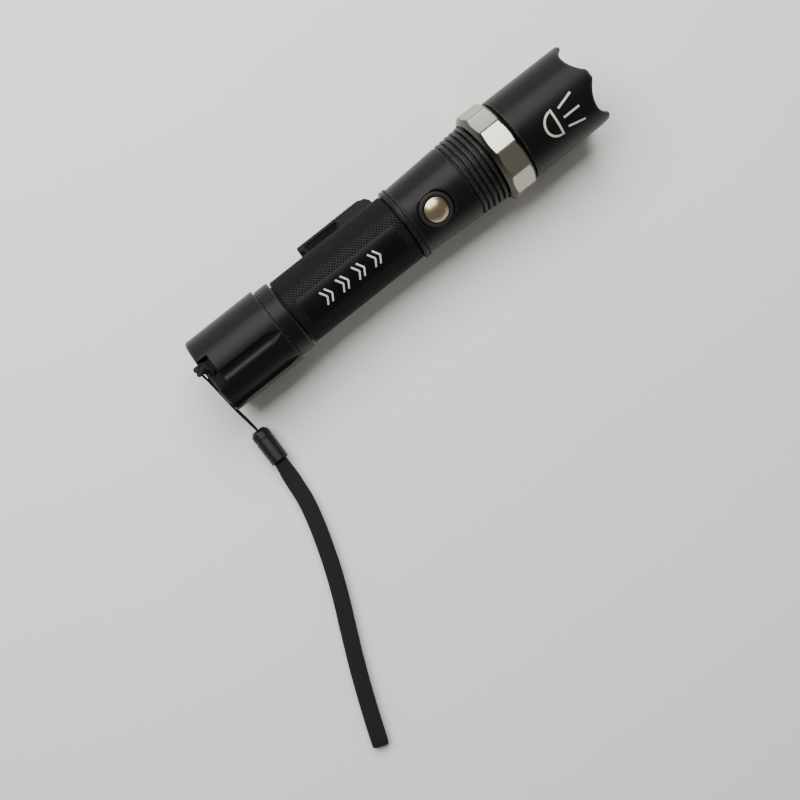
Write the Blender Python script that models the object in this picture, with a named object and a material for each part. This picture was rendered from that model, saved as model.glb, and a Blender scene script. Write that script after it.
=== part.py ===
"""Zoom flashlight with a side switch, a fluted tail cap and a wrist lanyard.

The light lies on one flat of its grip ring. Its axis runs along X, the beam leaves towards +X, and the
lanyard lies on the surface beside it, towards -Y. Dimensions are in millimetres, measured along the axis
from the tail end face and out from the axis, and MM turns them into metres.
Clock angles are in degrees about the axis: 0 is straight up and positive turns towards -Y.
"""

import math

import bmesh
import bpy
from mathutils import Vector
from mathutils.geometry import interpolate_bezier

MM = 0.001
SEGMENTS = 32  # sides of a turned part, the same everywhere so that sliding parts keep their clearance
SMOOTH_ANGLE = math.radians(35)
CUT_PAST = 3.0  # how far a cutter runs past the surface that it opens

# Overall
LENGTH = 160.0
GAP = 0.3  # between parts that touch
BORE_GAP = 0.4  # between a plain shaft and its bore

# Grip ring
RING_START, RING_END = 117.5, 128.3
RING_FLATS = 12
RING_CORNER_R = 17.2
RING_FLAT_R = RING_CORNER_R * math.cos(math.pi / RING_FLATS)
RING_END_R = 15.3  # its rim at each end
RING_CHAMFER = 2.6  # along the axis, to the corners
AXIS_HEIGHT = RING_FLAT_R

# Head
SLIDE_R = 12.5  # outside of the barrel that the head slides on
HEAD_BORE_R = SLIDE_R + 0.5
HEAD_R, HEAD_FRONT_R = 15.55, 15.3
HEAD_SHANK_R = 14.4
SCALLOPS = 5
SCALLOP_TIP_CLOCK = 6.0
SCALLOP_DEPTH, SCALLOP_HALF_WIDTH = 3.6, 7.6
LENS_BACK, LENS_FRONT = 143.2, 153.0
LENS_DOME_R, LENS_FLANGE_R, LENS_FLANGE = 12.0, 13.2, 2.2
LENS_POCKET_R, MOUTH_R = 13.6, 14.1

# Finned neck
HOUSING_END = 106.3
FIRST_FIN, FIN_PITCH, FIN_WIDTH, FINS = 107.2, 2.1, 1.3, 5
FIN_R, LAST_FIN_R, FIN_ROOT_R = 14.2, 14.7, 12.9
SLIDE_END = 134.0
PILL_FRONT = 136.0
WIRE_R = 0.6
HEAD_ORINGS = (120.0, 130.0)
ORING_WIRE_R, ORING_GROOVE = 0.38, 1.2

# Switch housing and button
HOUSING_START, HOUSING_SHOULDER = 82.1, 86.6
HOUSING_R, HOUSING_FRONT_R, COLLAR_R = 13.0, 14.0, 13.6
THREAD_R = 11.2  # outside of each threaded spigot
WIRE_CHAMBER_R = 5.5
BUTTON_X, BUTTON_CLOCK = 93.2, 23.0
BUTTON_R, BUTTON_TOP = 4.2, 14.3

# Battery tube and cell
TUBE_START, TUBE_SHOULDER, TUBE_END = 13.0, 34.6, 84.9
TUBE_BODY_END = 81.8
TUBE_R, TUBE_BORE_R = 12.4, 9.5
CELL_START, CELL_LENGTH, CELL_R = 15.4, 65.0, 9.1
TUBE_ORING = 30.6

# Tail cap
CAP_R, CAP_COLLAR_R, CAP_BODY_END, CAP_END = 14.35, 13.4, 28.4, 34.2
FLUTE_CLOCKS = (18.0, 67.0, 198.0, 247.0)
FLUTE_R, FLUTE_DEPTH, FLUTE_TAPER_START, FLUTE_TIP = 2.77, 1.3, 23.5, 28.6
NOTCH_CLOCK, NOTCH_HALF_WIDTH, NOTCH_DEPTH, NOTCH_FLOOR_R = 6.9, 5.5, 4.3, 10.4
EYE_R = 0.9
EYE_START = (3.4, 0, 11.4)  # it slants at 45 degrees through the notch floor to the end face

# Pocket clip
CLIP_CLOCK = -100.0
CLIP_START, CLIP_PAD, CLIP_SLOPE, CLIP_END = 49.4, 66.4, 75.2, 79.2
CLIP_HALF_WIDTH, CLIP_OUTER_R, CLIP_THICKNESS, CLIP_SEAT_R = 3.6, 16.1, 1.5, 12.75
CLIP_SCREWS = (68.9, 73.2)
CLIP_SCREW_R, CLIP_SCREW_HEAD_R = 0.8, 1.5

# Lanyard
CORD_R = 0.4
FERRULE_R, FERRULE_LENGTH, FERRULE_MOUTH_R = 3.4, 13.0, 2.95
FERRULE_CENTRE, FERRULE_YAW = (-0.05, -28.9, FERRULE_R), 1.0
STRAP_WIDTH, STRAP_THICKNESS = 5.7, 3.8
STRAP_GATHER, STRAP_GATHER_LENGTH = 0.79, 6.0  # its size where the ferrule grips it, and how soon it is full


def clear_scene():
    for obj in list(bpy.data.objects):
        bpy.data.objects.remove(obj)


def make_material(name, colour, roughness, metallic=0.0, transmission=0.0):
    material = bpy.data.materials.new(name)
    material.use_nodes = True
    shader = material.node_tree.nodes["Principled BSDF"]
    shader.inputs["Base Color"].default_value = (*colour, 1.0)
    shader.inputs["Roughness"].default_value = roughness
    shader.inputs["Metallic"].default_value = metallic
    shader.inputs["Transmission Weight"].default_value = transmission
    material.diffuse_color = (*colour, 1.0)
    return material


def make_empty(name, location, parent=None, clock=0.0):
    empty = bpy.data.objects.new(name, None)
    bpy.context.scene.collection.objects.link(empty)
    empty.location = Vector(location) * MM
    empty.rotation_euler = (math.radians(clock), 0, 0)
    empty.parent = parent
    return empty


def place(name, mesh, parent, material=None, location=(0, 0, 0), rotation=(0, 0, 0)):
    obj = bpy.data.objects.new(name, mesh)
    bpy.context.scene.collection.objects.link(obj)
    obj.location = Vector(location) * MM
    obj.rotation_euler = [math.radians(angle) for angle in rotation]
    obj.parent = parent
    if material:
        mesh.materials.append(material)
    return obj


def finish_mesh(name, bm):
    """The bmesh, drawn in millimetres, as a mesh in metres with outward faces and smooth round sides."""
    bmesh.ops.recalc_face_normals(bm, faces=bm.faces)
    bmesh.ops.scale(bm, vec=(MM, MM, MM), verts=bm.verts)
    mesh = bpy.data.meshes.new(name)
    bm.to_mesh(mesh)
    bm.free()
    mesh.shade_smooth()
    mesh.set_sharp_from_angle(angle=SMOOTH_ANGLE)
    return mesh


def turned_mesh(name, outline, axis="X", segments=SEGMENTS, phase=0.0):
    """A turned shape from (along, radius) points: a closed loop unless both ends are on the axis."""
    bm = bmesh.new()
    rings = []
    for along, radius in outline:
        if radius == 0:
            rings.append([turned_point(bm, along, 0, 0, axis)])
            continue
        angles = [phase + 2 * math.pi * i / segments for i in range(segments)]
        rings.append([turned_point(bm, along, radius, angle, axis) for angle in angles])
    closed = outline[0][1] > 0
    for first, second in zip(rings, rings[1:] + rings[:1] if closed else rings[1:]):
        bridge(bm, first, second)
    return finish_mesh(name, bm)


def turned_point(bm, along, radius, angle, axis):
    side, up = radius * math.sin(angle), radius * math.cos(angle)
    return bm.verts.new((along, -side, up) if axis == "X" else (side, up, along))


def bridge(bm, first, second):
    count = max(len(first), len(second))
    for i in range(count):
        corners = []
        for corner in (
            first[i % len(first)],
            first[(i + 1) % len(first)],
            second[(i + 1) % len(second)],
            second[i % len(second)],
        ):
            if corner not in corners:
                corners.append(corner)
        if len(corners) > 2:
            bm.faces.new(corners)


def box_mesh(name, low, high):
    bm = bmesh.new()
    bmesh.ops.create_cube(bm, size=1.0)
    for vert in bm.verts:
        vert.co = [low[i] if vert.co[i] < 0 else high[i] for i in range(3)]
    return finish_mesh(name, bm)


def prism_mesh(name, outline, low, high):
    """An (x, z) outline carried along Y from low to high."""
    bm = bmesh.new()
    sides = [[bm.verts.new((x, y, z)) for x, z in outline] for y in (low, high)]
    bm.faces.new(sides[0])
    bm.faces.new(reversed(sides[1]))
    bridge(bm, *sides)
    return finish_mesh(name, bm)


def helix_mesh(name, start, end, start_r, end_r, turns, wire_r, steps=10, sides=6):
    """A conical coil spring along X, with closed wire ends."""
    bm = bmesh.new()
    rings = []
    count = int(turns * steps)
    for i in range(count + 1):
        share = i / count
        angle = 2 * math.pi * turns * share
        radius = start_r + (end_r - start_r) * share
        outward = Vector((0, math.cos(angle), math.sin(angle)))
        centre = outward * radius + Vector((start + (end - start) * share, 0, 0))
        ring = []
        for k in range(sides):
            turn = 2 * math.pi * k / sides
            arm = outward * math.cos(turn) + Vector((math.sin(turn), 0, 0))
            ring.append(bm.verts.new(centre + wire_r * arm))
        rings.append(ring)
    for first, second in zip(rings, rings[1:]):
        bridge(bm, first, second)
    bm.faces.new(rings[0])
    bm.faces.new(reversed(rings[-1]))
    return finish_mesh(name, bm)


def ring_outline(centre, major_r, wire_r=ORING_WIRE_R, sides=6):
    angles = [2 * math.pi * i / sides for i in range(sides)]
    return [(centre + wire_r * math.cos(a), major_r + wire_r * math.sin(a)) for a in angles]


def cut(obj, cutter, operation="DIFFERENCE"):
    cutter.hide_render = True
    cutter.display_type = "WIRE"
    modifier = obj.modifiers.new(cutter.name, "BOOLEAN")
    modifier.operation = operation
    modifier.solver = "EXACT"
    modifier.object = cutter


def smooth_route(points, spacing):
    """Points evenly read from one smooth curve through the route's own points."""
    route = [Vector(point) for point in points]
    tangents = [(after - before) / 2 for before, after in zip(route, route[2:])]
    tangents = [route[1] - route[0], *tangents, route[-1] - route[-2]]
    dense = []
    for i in range(len(route) - 1):
        first, second = route[i], route[i + 1]
        handles = first + tangents[i] / 3, second - tangents[i + 1] / 3
        dense += interpolate_bezier(first, *handles, second, 24)[:-1]
    dense.append(route[-1])
    lengths = [0.0]
    for before, after in zip(dense, dense[1:]):
        lengths.append(lengths[-1] + (after - before).length)
    count = max(2, round(lengths[-1] / spacing))
    read, at = [], 0
    for i in range(count + 1):
        wanted = lengths[-1] * i / count
        while at < len(dense) - 2 and lengths[at + 1] < wanted:
            at += 1
        share = (wanted - lengths[at]) / (lengths[at + 1] - lengths[at])
        read.append(dense[at].lerp(dense[at + 1], share))
    return read


def tube_object(name, points, radius, material, parent, bevel_resolution=2):
    curve = bpy.data.curves.new(name, "CURVE")
    curve.dimensions = "3D"
    curve.bevel_depth = radius * MM
    curve.bevel_resolution = bevel_resolution
    curve.use_fill_caps = True
    spline = curve.splines.new("POLY")
    spline.points.add(len(points) - 1)
    for spot, point in zip(spline.points, points):
        spot.co = (*(Vector(point) * MM), 1.0)
    return place(name, curve, parent, material)


def strap_mesh(name, points, width, thickness):
    """A flat strap swept along a route, its width level with its surface, and gathered where it starts."""
    bm = bmesh.new()
    rings = []
    for i, point in enumerate(points):
        ahead = points[min(i + 1, len(points) - 1)] - points[max(i - 1, 0)]
        spread = min(1, (point - points[0]).length / STRAP_GATHER_LENGTH)
        size = STRAP_GATHER + (1 - STRAP_GATHER) * spread
        side = Vector((-ahead.y, ahead.x, 0)).normalized() * size * width / 2
        up = ahead.cross(side).normalized() * size * thickness / 2
        corners = ((1, 1), (-1, 1), (-1, -1), (1, -1))
        rings.append([bm.verts.new(point + a * side + b * up) for a, b in corners])
    for first, second in zip(rings, rings[1:]):
        bridge(bm, first, second)
    bm.faces.new(rings[0])
    bm.faces.new(reversed(rings[-1]))
    return finish_mesh(name, bm)


def make_materials():
    return {
        "black": make_material("black_anodised", (0.018, 0.019, 0.021), 0.38, 0.85),
        "steel": make_material("satin_steel", (0.62, 0.60, 0.57), 0.28, 1.0),
        "brass": make_material("brass", (0.66, 0.47, 0.20), 0.32, 1.0),
        "rubber": make_material("rubber", (0.015, 0.015, 0.016), 0.7),
        "board": make_material("circuit_board", (0.03, 0.16, 0.07), 0.5),
        "white": make_material("white_board", (0.80, 0.80, 0.77), 0.45),
        "emitter": make_material("emitter", (0.88, 0.76, 0.26), 0.35),
        "cell": make_material("cell_wrap", (0.05, 0.16, 0.40), 0.35),
        "lens": make_material("clear_lens", (0.95, 0.97, 0.98), 0.03, 0.0, 1.0),
        "wire": make_material("wire_cover", (0.45, 0.04, 0.03), 0.45),
        "webbing": make_material("black_webbing", (0.012, 0.012, 0.013), 0.85),
        "plastic": make_material("black_plastic", (0.020, 0.020, 0.022), 0.4),
    }


def make_tail_cap(paint, cap):
    outline = [(0, 0), (0, 13.4), (1.0, CAP_R), (CAP_BODY_END, CAP_R), (CAP_BODY_END, 12.9)]
    outline += [(28.9, 12.9), (28.9, CAP_COLLAR_R), (33.8, CAP_COLLAR_R), (CAP_END, 13.0)]
    bore = THREAD_R + BORE_GAP
    outline += [(CAP_END, bore), (10.0, bore), (10.0, 9.0), (7.0, 9.0), (7.0, 0)]
    shell = place("tail_cap", turned_mesh("tail_cap", outline), cap, paint["black"])

    centre_r = CAP_R + FLUTE_R - FLUTE_DEPTH
    tip_r = centre_r - CAP_R
    flute = [(-CUT_PAST, 0), (-CUT_PAST, FLUTE_R), (FLUTE_TAPER_START, FLUTE_R)]
    flute += [(FLUTE_TIP, tip_r), (FLUTE_TIP, 0)]
    flute_mesh = turned_mesh("flute_cutter", flute, segments=12)
    for i, clock in enumerate(FLUTE_CLOCKS):
        turn = make_empty(f"flute_turn_{i + 1}", (0, 0, 0), cap, clock)
        cut(shell, place(f"flute_cutter_{i + 1}", flute_mesh, turn, location=(0, 0, centre_r)))

    notch_turn = make_empty("notch_turn", (0, 0, 0), cap, NOTCH_CLOCK)
    low = (-CUT_PAST, -NOTCH_HALF_WIDTH, NOTCH_FLOOR_R)
    high = (NOTCH_DEPTH, NOTCH_HALF_WIDTH, CAP_R + CUT_PAST)
    cut(shell, place("notch_cutter", box_mesh("notch_cutter", low, high), notch_turn))
    eye = turned_mesh("eye_cutter", [(0, 0), (0, EYE_R), (9, EYE_R), (9, 0)], "Z", 12)
    cut(shell, place("eye_cutter", eye, notch_turn, location=EYE_START, rotation=(0, 225, 0)))

    plate = [(7.3, 0), (7.3, 8.6), (8.1, 8.6), (8.1, 0)]
    place("tail_contact_plate", turned_mesh("tail_contact_plate", plate), cap, paint["brass"])
    ring = [(8.4, 7.4), (8.4, 8.6), (9.7, 8.6), (9.7, 7.4)]
    place("tail_retaining_ring", turned_mesh("tail_retaining_ring", ring), cap, paint["brass"])
    spring = helix_mesh("tail_spring", 8.95, CELL_START - GAP - 0.5, 6.4, 4.2, 4.5, 0.45)
    place("tail_spring", spring, cap, paint["steel"])


def make_battery(paint, cell):
    end = CELL_START + CELL_LENGTH
    can = [(CELL_START, 0), (CELL_START, CELL_R - 0.5), (CELL_START + 0.5, CELL_R)]
    can += [(end - 0.5, CELL_R), (end, CELL_R - 0.5), (end, 0)]
    place("battery_cell", turned_mesh("battery_cell", can), cell, paint["cell"])
    ring = [(end + GAP, 3.3), (end + GAP, 8.5), (end + 0.7, 8.5), (end + 0.7, 3.3)]
    place("battery_insulator", turned_mesh("battery_insulator", ring), cell, paint["white"])
    top = [(end + GAP, 0), (end + GAP, 2.9), (end + 1.6, 2.7), (end + 1.6, 0)]
    place("battery_positive_cap", turned_mesh("battery_positive_cap", top), cell, paint["steel"])


def make_tube(paint, barrel):
    groove_floor = THREAD_R - 0.7
    outline = [(TUBE_START, TUBE_BORE_R), (TUBE_START, THREAD_R), (TUBE_ORING, THREAD_R)]
    outline += [(TUBE_ORING, groove_floor), (TUBE_ORING + ORING_GROOVE, groove_floor)]
    outline += [(TUBE_ORING + ORING_GROOVE, THREAD_R), (TUBE_SHOULDER, THREAD_R), (TUBE_SHOULDER, TUBE_R)]
    outline += [(TUBE_BODY_END, TUBE_R), (TUBE_BODY_END, THREAD_R)]
    outline += [(TUBE_END, THREAD_R), (TUBE_END, TUBE_BORE_R)]
    tube = place("battery_tube", turned_mesh("battery_tube", outline), barrel, paint["black"])
    oring = ring_outline(TUBE_ORING + ORING_GROOVE / 2, THREAD_R - 0.08)
    place("tube_oring", turned_mesh("tube_oring", oring), barrel, paint["rubber"])

    side = make_empty("clip_side", (0, 0, 0), barrel, CLIP_CLOCK)
    bar_inner = CLIP_OUTER_R - CLIP_THICKNESS
    outline = [(CLIP_START, CLIP_OUTER_R), (CLIP_SLOPE, CLIP_OUTER_R)]
    outline += [(CLIP_SLOPE + 2.9, CLIP_OUTER_R - 1.3), (CLIP_END, CLIP_OUTER_R - 2.7), (CLIP_END, 11.5)]
    outline += [(CLIP_PAD, 11.5), (CLIP_PAD - 1.2, bar_inner)]
    lip_r = bar_inner - 0.8
    outline += [(CLIP_START + 2.2, bar_inner), (CLIP_START + 1.5, lip_r), (CLIP_START, lip_r)]
    mesh = prism_mesh("pocket_clip", outline, -CLIP_HALF_WIDTH, CLIP_HALF_WIDTH)
    clip = place("pocket_clip", mesh, side, paint["black"])
    seat = [(CLIP_START - CUT_PAST, 0), (CLIP_START - CUT_PAST, CLIP_SEAT_R)]
    seat += [(CLIP_END + CUT_PAST, CLIP_SEAT_R), (CLIP_END + CUT_PAST, 0)]
    cut(clip, place("clip_seat_cutter", turned_mesh("clip_seat_cutter", seat), side))

    head_low = CLIP_OUTER_R - 0.9
    hole = [(9.9, 0), (9.9, CLIP_SCREW_R + GAP), (head_low - GAP, CLIP_SCREW_R + GAP)]
    hole += [(head_low - GAP, CLIP_SCREW_HEAD_R + GAP), (20, CLIP_SCREW_HEAD_R + GAP), (20, 0)]
    hole_mesh = turned_mesh("clip_screw_cutter", hole, "Z", 16)
    screw = [(10.3, 0), (10.3, CLIP_SCREW_R), (head_low, CLIP_SCREW_R), (head_low, CLIP_SCREW_HEAD_R)]
    screw += [(CLIP_OUTER_R - 0.1, CLIP_SCREW_HEAD_R), (CLIP_OUTER_R - 0.1, 0)]
    screw_mesh = turned_mesh("clip_screw", screw, "Z", 16)
    screw_mesh.materials.append(paint["steel"])
    for i, x in enumerate(CLIP_SCREWS):
        cutter = place(f"clip_screw_cutter_{i + 1}", hole_mesh, side, location=(x, 0, 0))
        cut(clip, cutter)
        cut(tube, cutter)
        place(f"clip_screw_{i + 1}", screw_mesh, side, location=(x, 0, 0))


def make_switch_housing(paint, barrel):
    outline = [(HOUSING_START, THREAD_R + BORE_GAP), (HOUSING_START, HOUSING_R)]
    for ridge in (82.3, 83.7):
        outline += [(ridge, HOUSING_R), (ridge + 0.3, COLLAR_R)]
        outline += [(ridge + 0.8, COLLAR_R), (ridge + 1.1, HOUSING_R)]
    outline += [(84.9, HOUSING_R), (HOUSING_END, HOUSING_FRONT_R), (HOUSING_END, THREAD_R + BORE_GAP)]
    outline += [(99.2, THREAD_R + BORE_GAP), (99.2, WIRE_CHAMBER_R), (HOUSING_SHOULDER, WIRE_CHAMBER_R)]
    outline += [(HOUSING_SHOULDER, THREAD_R + BORE_GAP)]
    return place("switch_housing", turned_mesh("switch_housing", outline), barrel, paint["black"])


def make_switch(paint, barrel, housing, button):
    side = make_empty("switch_side", (BUTTON_X, 0, 0), barrel, BUTTON_CLOCK)
    pocket = [(4.0, 0), (4.0, 3.2), (6.8, 3.2), (6.8, 4.7), (11.1, 4.7), (11.1, 6.2)]
    pocket += [(12.0, 6.2), (12.0, 6.6)]
    pocket += [(18.0, 6.6), (18.0, 0)]
    cut(housing, place("switch_pocket_cutter", turned_mesh("switch_pocket_cutter", pocket, "Z"), side))

    board = [(7.1, 0), (7.1, 4.35), (7.8, 4.35), (7.8, 0)]
    place("switch_board", turned_mesh("switch_board", board, "Z", 24), side, paint["board"])
    mesh = box_mesh("micro_switch", (-2.3, -2.3, 8.1), (2.3, 2.3, 10.3))
    micro = place("micro_switch", mesh, side, paint["plastic"])
    hole = turned_mesh("plunger_hole_cutter", [(8.8, 0), (8.8, 1.25), (12, 1.25), (12, 0)], "Z", 16)
    cut(micro, place("plunger_hole_cutter", hole, side))
    gasket = [(11.4, 4.55), (11.4, 5.85), (12.4, 5.85), (12.6, 5.5), (12.6, 4.55)]
    place("switch_gasket", turned_mesh("switch_gasket", gasket, "Z"), side, paint["rubber"])

    dome_sides = 5
    rim = 12.9
    dome_height = BUTTON_TOP - rim
    cap = [(11.6, 0), (11.6, BUTTON_R), (rim, BUTTON_R)]
    for i in range(1, dome_sides):
        angle = math.pi / 2 * i / dome_sides
        cap.append((rim + dome_height * math.sin(angle), BUTTON_R * math.cos(angle)))
    cap.append((BUTTON_TOP, 0))
    place("switch_button", turned_mesh("switch_button", cap, "Z"), button, paint["steel"])
    plunger = [(9.9, 0), (9.9, 0.9), (11.3, 0.9), (11.3, 0)]
    place("switch_plunger", turned_mesh("switch_plunger", plunger, "Z", 12), button, paint["brass"])


def make_contact_board(paint, barrel):
    board = [(85.2, 0), (85.2, 11.0), (86.3, 11.0), (86.3, 0)]
    place("contact_board", turned_mesh("contact_board", board), barrel, paint["board"])
    start = CELL_START + CELL_LENGTH + 1.6 + GAP + 0.35
    spring = helix_mesh("contact_spring", start, 84.5, 2.2, 3.6, 2.0, 0.35)
    place("contact_spring", spring, barrel, paint["brass"])


def make_neck(paint, barrel):
    bore = 8.0
    start = HOUSING_END + GAP
    outline = [(99.5, bore), (99.5, THREAD_R), (start, THREAD_R), (start, FIN_ROOT_R)]
    for i in range(FINS):
        start = FIRST_FIN + i * FIN_PITCH
        radius = FIN_R + (LAST_FIN_R - FIN_R) * i / (FINS - 1)
        outline += [(start, FIN_ROOT_R), (start, radius), (start + FIN_WIDTH, radius)]
        if i < FINS - 1:
            outline.append((start + FIN_WIDTH, FIN_ROOT_R))
    outline.append((FIRST_FIN + (FINS - 1) * FIN_PITCH + FIN_WIDTH, SLIDE_R))
    for groove in HEAD_ORINGS:
        floor = SLIDE_R - 0.7
        far_side = groove + ORING_GROOVE
        outline += [(groove, SLIDE_R), (groove, floor), (far_side, floor), (far_side, SLIDE_R)]
    outline += [(SLIDE_END, SLIDE_R), (SLIDE_END, THREAD_R), (122.2, THREAD_R), (122.2, bore)]
    place("finned_neck", turned_mesh("finned_neck", outline), barrel, paint["black"])
    for name, groove in zip(("head_oring_rear", "head_oring_front"), HEAD_ORINGS):
        oring = ring_outline(groove + ORING_GROOVE / 2, SLIDE_R - 0.15)
        place(name, turned_mesh(name, oring), barrel, paint["rubber"])


def make_led(paint, barrel):
    """The brass pill screws into the neck, and carries the driver behind it and the LED in front."""
    skirt_r, skirt_bore_r, flange_r = 10.8, 9.2, 12.2
    seat = SLIDE_END + GAP
    outline = [(PILL_FRONT, 0), (PILL_FRONT, flange_r), (seat, flange_r), (seat, skirt_r)]
    outline += [(122.5, skirt_r), (122.5, skirt_bore_r), (132.0, skirt_bore_r), (132.0, 0)]
    block = place("led_pill", turned_mesh("led_pill", outline), barrel, paint["brass"])
    drill_r, drill_offset = 1.0, 6.4
    drill = [(130, 0), (130, drill_r), (138, drill_r), (138, 0)]
    hole = turned_mesh("pill_wire_cutter", drill, segments=10)
    for i, side in enumerate((-1, 1)):
        cut(block, place(f"pill_wire_cutter_{i + 1}", hole, barrel, location=(0, side * drill_offset, 0)))

    board = place(
        "driver_board",
        turned_mesh("driver_board", [(124.2, 0), (124.2, 8.7), (125.4, 8.7), (125.4, 0)]),
        barrel,
        paint["board"],
    )
    coil = (125.0, -4.6, -2.2), (128.6, -0.2, 2.2)
    chip = (125.0, 1.2, -2.4), (126.9, 5.4, 2.0)
    for part, (low, high) in {"coil": coil, "chip": chip}.items():
        cut(board, place(f"driver_{part}", box_mesh(f"driver_{part}", low, high), barrel), "UNION")

    board_r, board_back, board_front = 7.8, PILL_FRONT + GAP, PILL_FRONT + GAP + 1.6
    star = [(board_back, 0), (board_back, board_r), (board_front, board_r), (board_front, 0)]
    place("led_board", turned_mesh("led_board", star), barrel, paint["white"])
    gasket = [(138.2, 3.2), (138.2, 6.2), (139.4, 5.4), (139.4, 3.6)]
    place("led_gasket", turned_mesh("led_gasket", gasket), barrel, paint["white"])
    half = 1.75  # of the square package
    package = box_mesh("led_emitter", (138.2, -half, -half), (139.1, half, half))
    emitter = place("led_emitter", package, barrel, paint["emitter"])
    dome_r, sides = 1.6, 4
    angles = [math.pi / 2 * i / sides for i in range(1, sides)]
    dome = [(138.9, 0), (138.9, dome_r)]
    dome += [(139.0 + dome_r * math.sin(a), dome_r * math.cos(a)) for a in angles]
    dome.append((139.0 + dome_r, 0))
    cut(emitter, place("emitter_dome", turned_mesh("emitter_dome", dome, segments=16), barrel), "UNION")


def make_wires(paint, barrel):
    for name, side in (("wire_positive", 1), ("wire_negative", -1)):
        route = [(86.7, side * 2.4, -2.0), (92.0, side * 2.6, -2.2), (104.0, side * 3.4, -2.6)]
        route += [(116.0, side * 3.6, -2.6), (123.8, side * 3.4, -2.4)]
        tube_object(name, smooth_route(route, 3.0), WIRE_R, paint["wire"], barrel, 1)


def make_head(paint, head):
    back, shoulder = RING_START + GAP, RING_END + GAP
    outline = [(back, HEAD_BORE_R), (back, HEAD_SHANK_R), (shoulder, HEAD_SHANK_R), (shoulder, 15.2)]
    outline += [(shoulder + 0.4, HEAD_R), (159.4, HEAD_FRONT_R), (LENGTH, 14.9), (LENGTH, MOUTH_R)]
    outline += [(149.4, MOUTH_R), (149.4, LENS_POCKET_R)]
    outline += [(142.9, LENS_POCKET_R), (142.9, 11.5), (140.4, 11.5), (140.4, HEAD_BORE_R)]
    sleeve = place("head_sleeve", turned_mesh("head_sleeve", outline), head, paint["black"])

    radius = (SCALLOP_HALF_WIDTH**2 + SCALLOP_DEPTH**2) / (2 * SCALLOP_DEPTH)
    scallop = turned_mesh("scallop_cutter", [(6, 0), (6, radius), (24, radius), (24, 0)], "Z", 40)
    for i in range(SCALLOPS):
        clock = SCALLOP_TIP_CLOCK + 360 / SCALLOPS * (i + 0.5)
        turn = make_empty(f"scallop_turn_{i + 1}", (LENGTH + radius - SCALLOP_DEPTH, 0, 0), head, clock)
        cut(sleeve, place(f"scallop_cutter_{i + 1}", scallop, turn))

    inner = HEAD_SHANK_R + GAP
    outline = [(RING_START, inner), (RING_START, RING_END_R), (RING_START + RING_CHAMFER, RING_CORNER_R)]
    outline += [(RING_END - RING_CHAMFER, RING_CORNER_R), (RING_END, RING_END_R), (RING_END, inner)]
    ring = place("grip_ring", turned_mesh("grip_ring", outline), head, paint["steel"])
    before, after = RING_START - CUT_PAST, RING_END + CUT_PAST
    flats = [(before, 0), (before, RING_CORNER_R), (after, RING_CORNER_R), (after, 0)]
    mesh = turned_mesh("ring_flats", flats, segments=RING_FLATS, phase=math.pi / RING_FLATS)
    cut(ring, place("ring_flats", mesh, head), "INTERSECT")


def make_lens(paint, head):
    flange_front = LENS_BACK + LENS_FLANGE
    rise = LENS_FRONT - flange_front
    sphere_r = (LENS_DOME_R**2 + rise**2) / (2 * rise)
    dome_sides = 7
    full = math.asin(LENS_DOME_R / sphere_r)
    outline = [(LENS_BACK, 0), (LENS_BACK, LENS_FLANGE_R), (flange_front, LENS_FLANGE_R)]
    outline.append((flange_front, LENS_DOME_R))
    for i in range(1, dome_sides):
        angle = full * (1 - i / dome_sides)
        outline.append((LENS_FRONT - sphere_r * (1 - math.cos(angle)), sphere_r * math.sin(angle)))
    outline.append((LENS_FRONT, 0))
    place("lens", turned_mesh("lens", outline), head, paint["lens"])
    oring = ring_outline(flange_front + GAP + ORING_WIRE_R, 12.75)
    place("lens_oring", turned_mesh("lens_oring", oring), head, paint["rubber"])
    ring = [(146.8, 12.2), (146.8, 13.2), (149.2, 13.2), (149.2, 12.2)]
    place("lens_retainer", turned_mesh("lens_retainer", ring), head, paint["black"])


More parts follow.
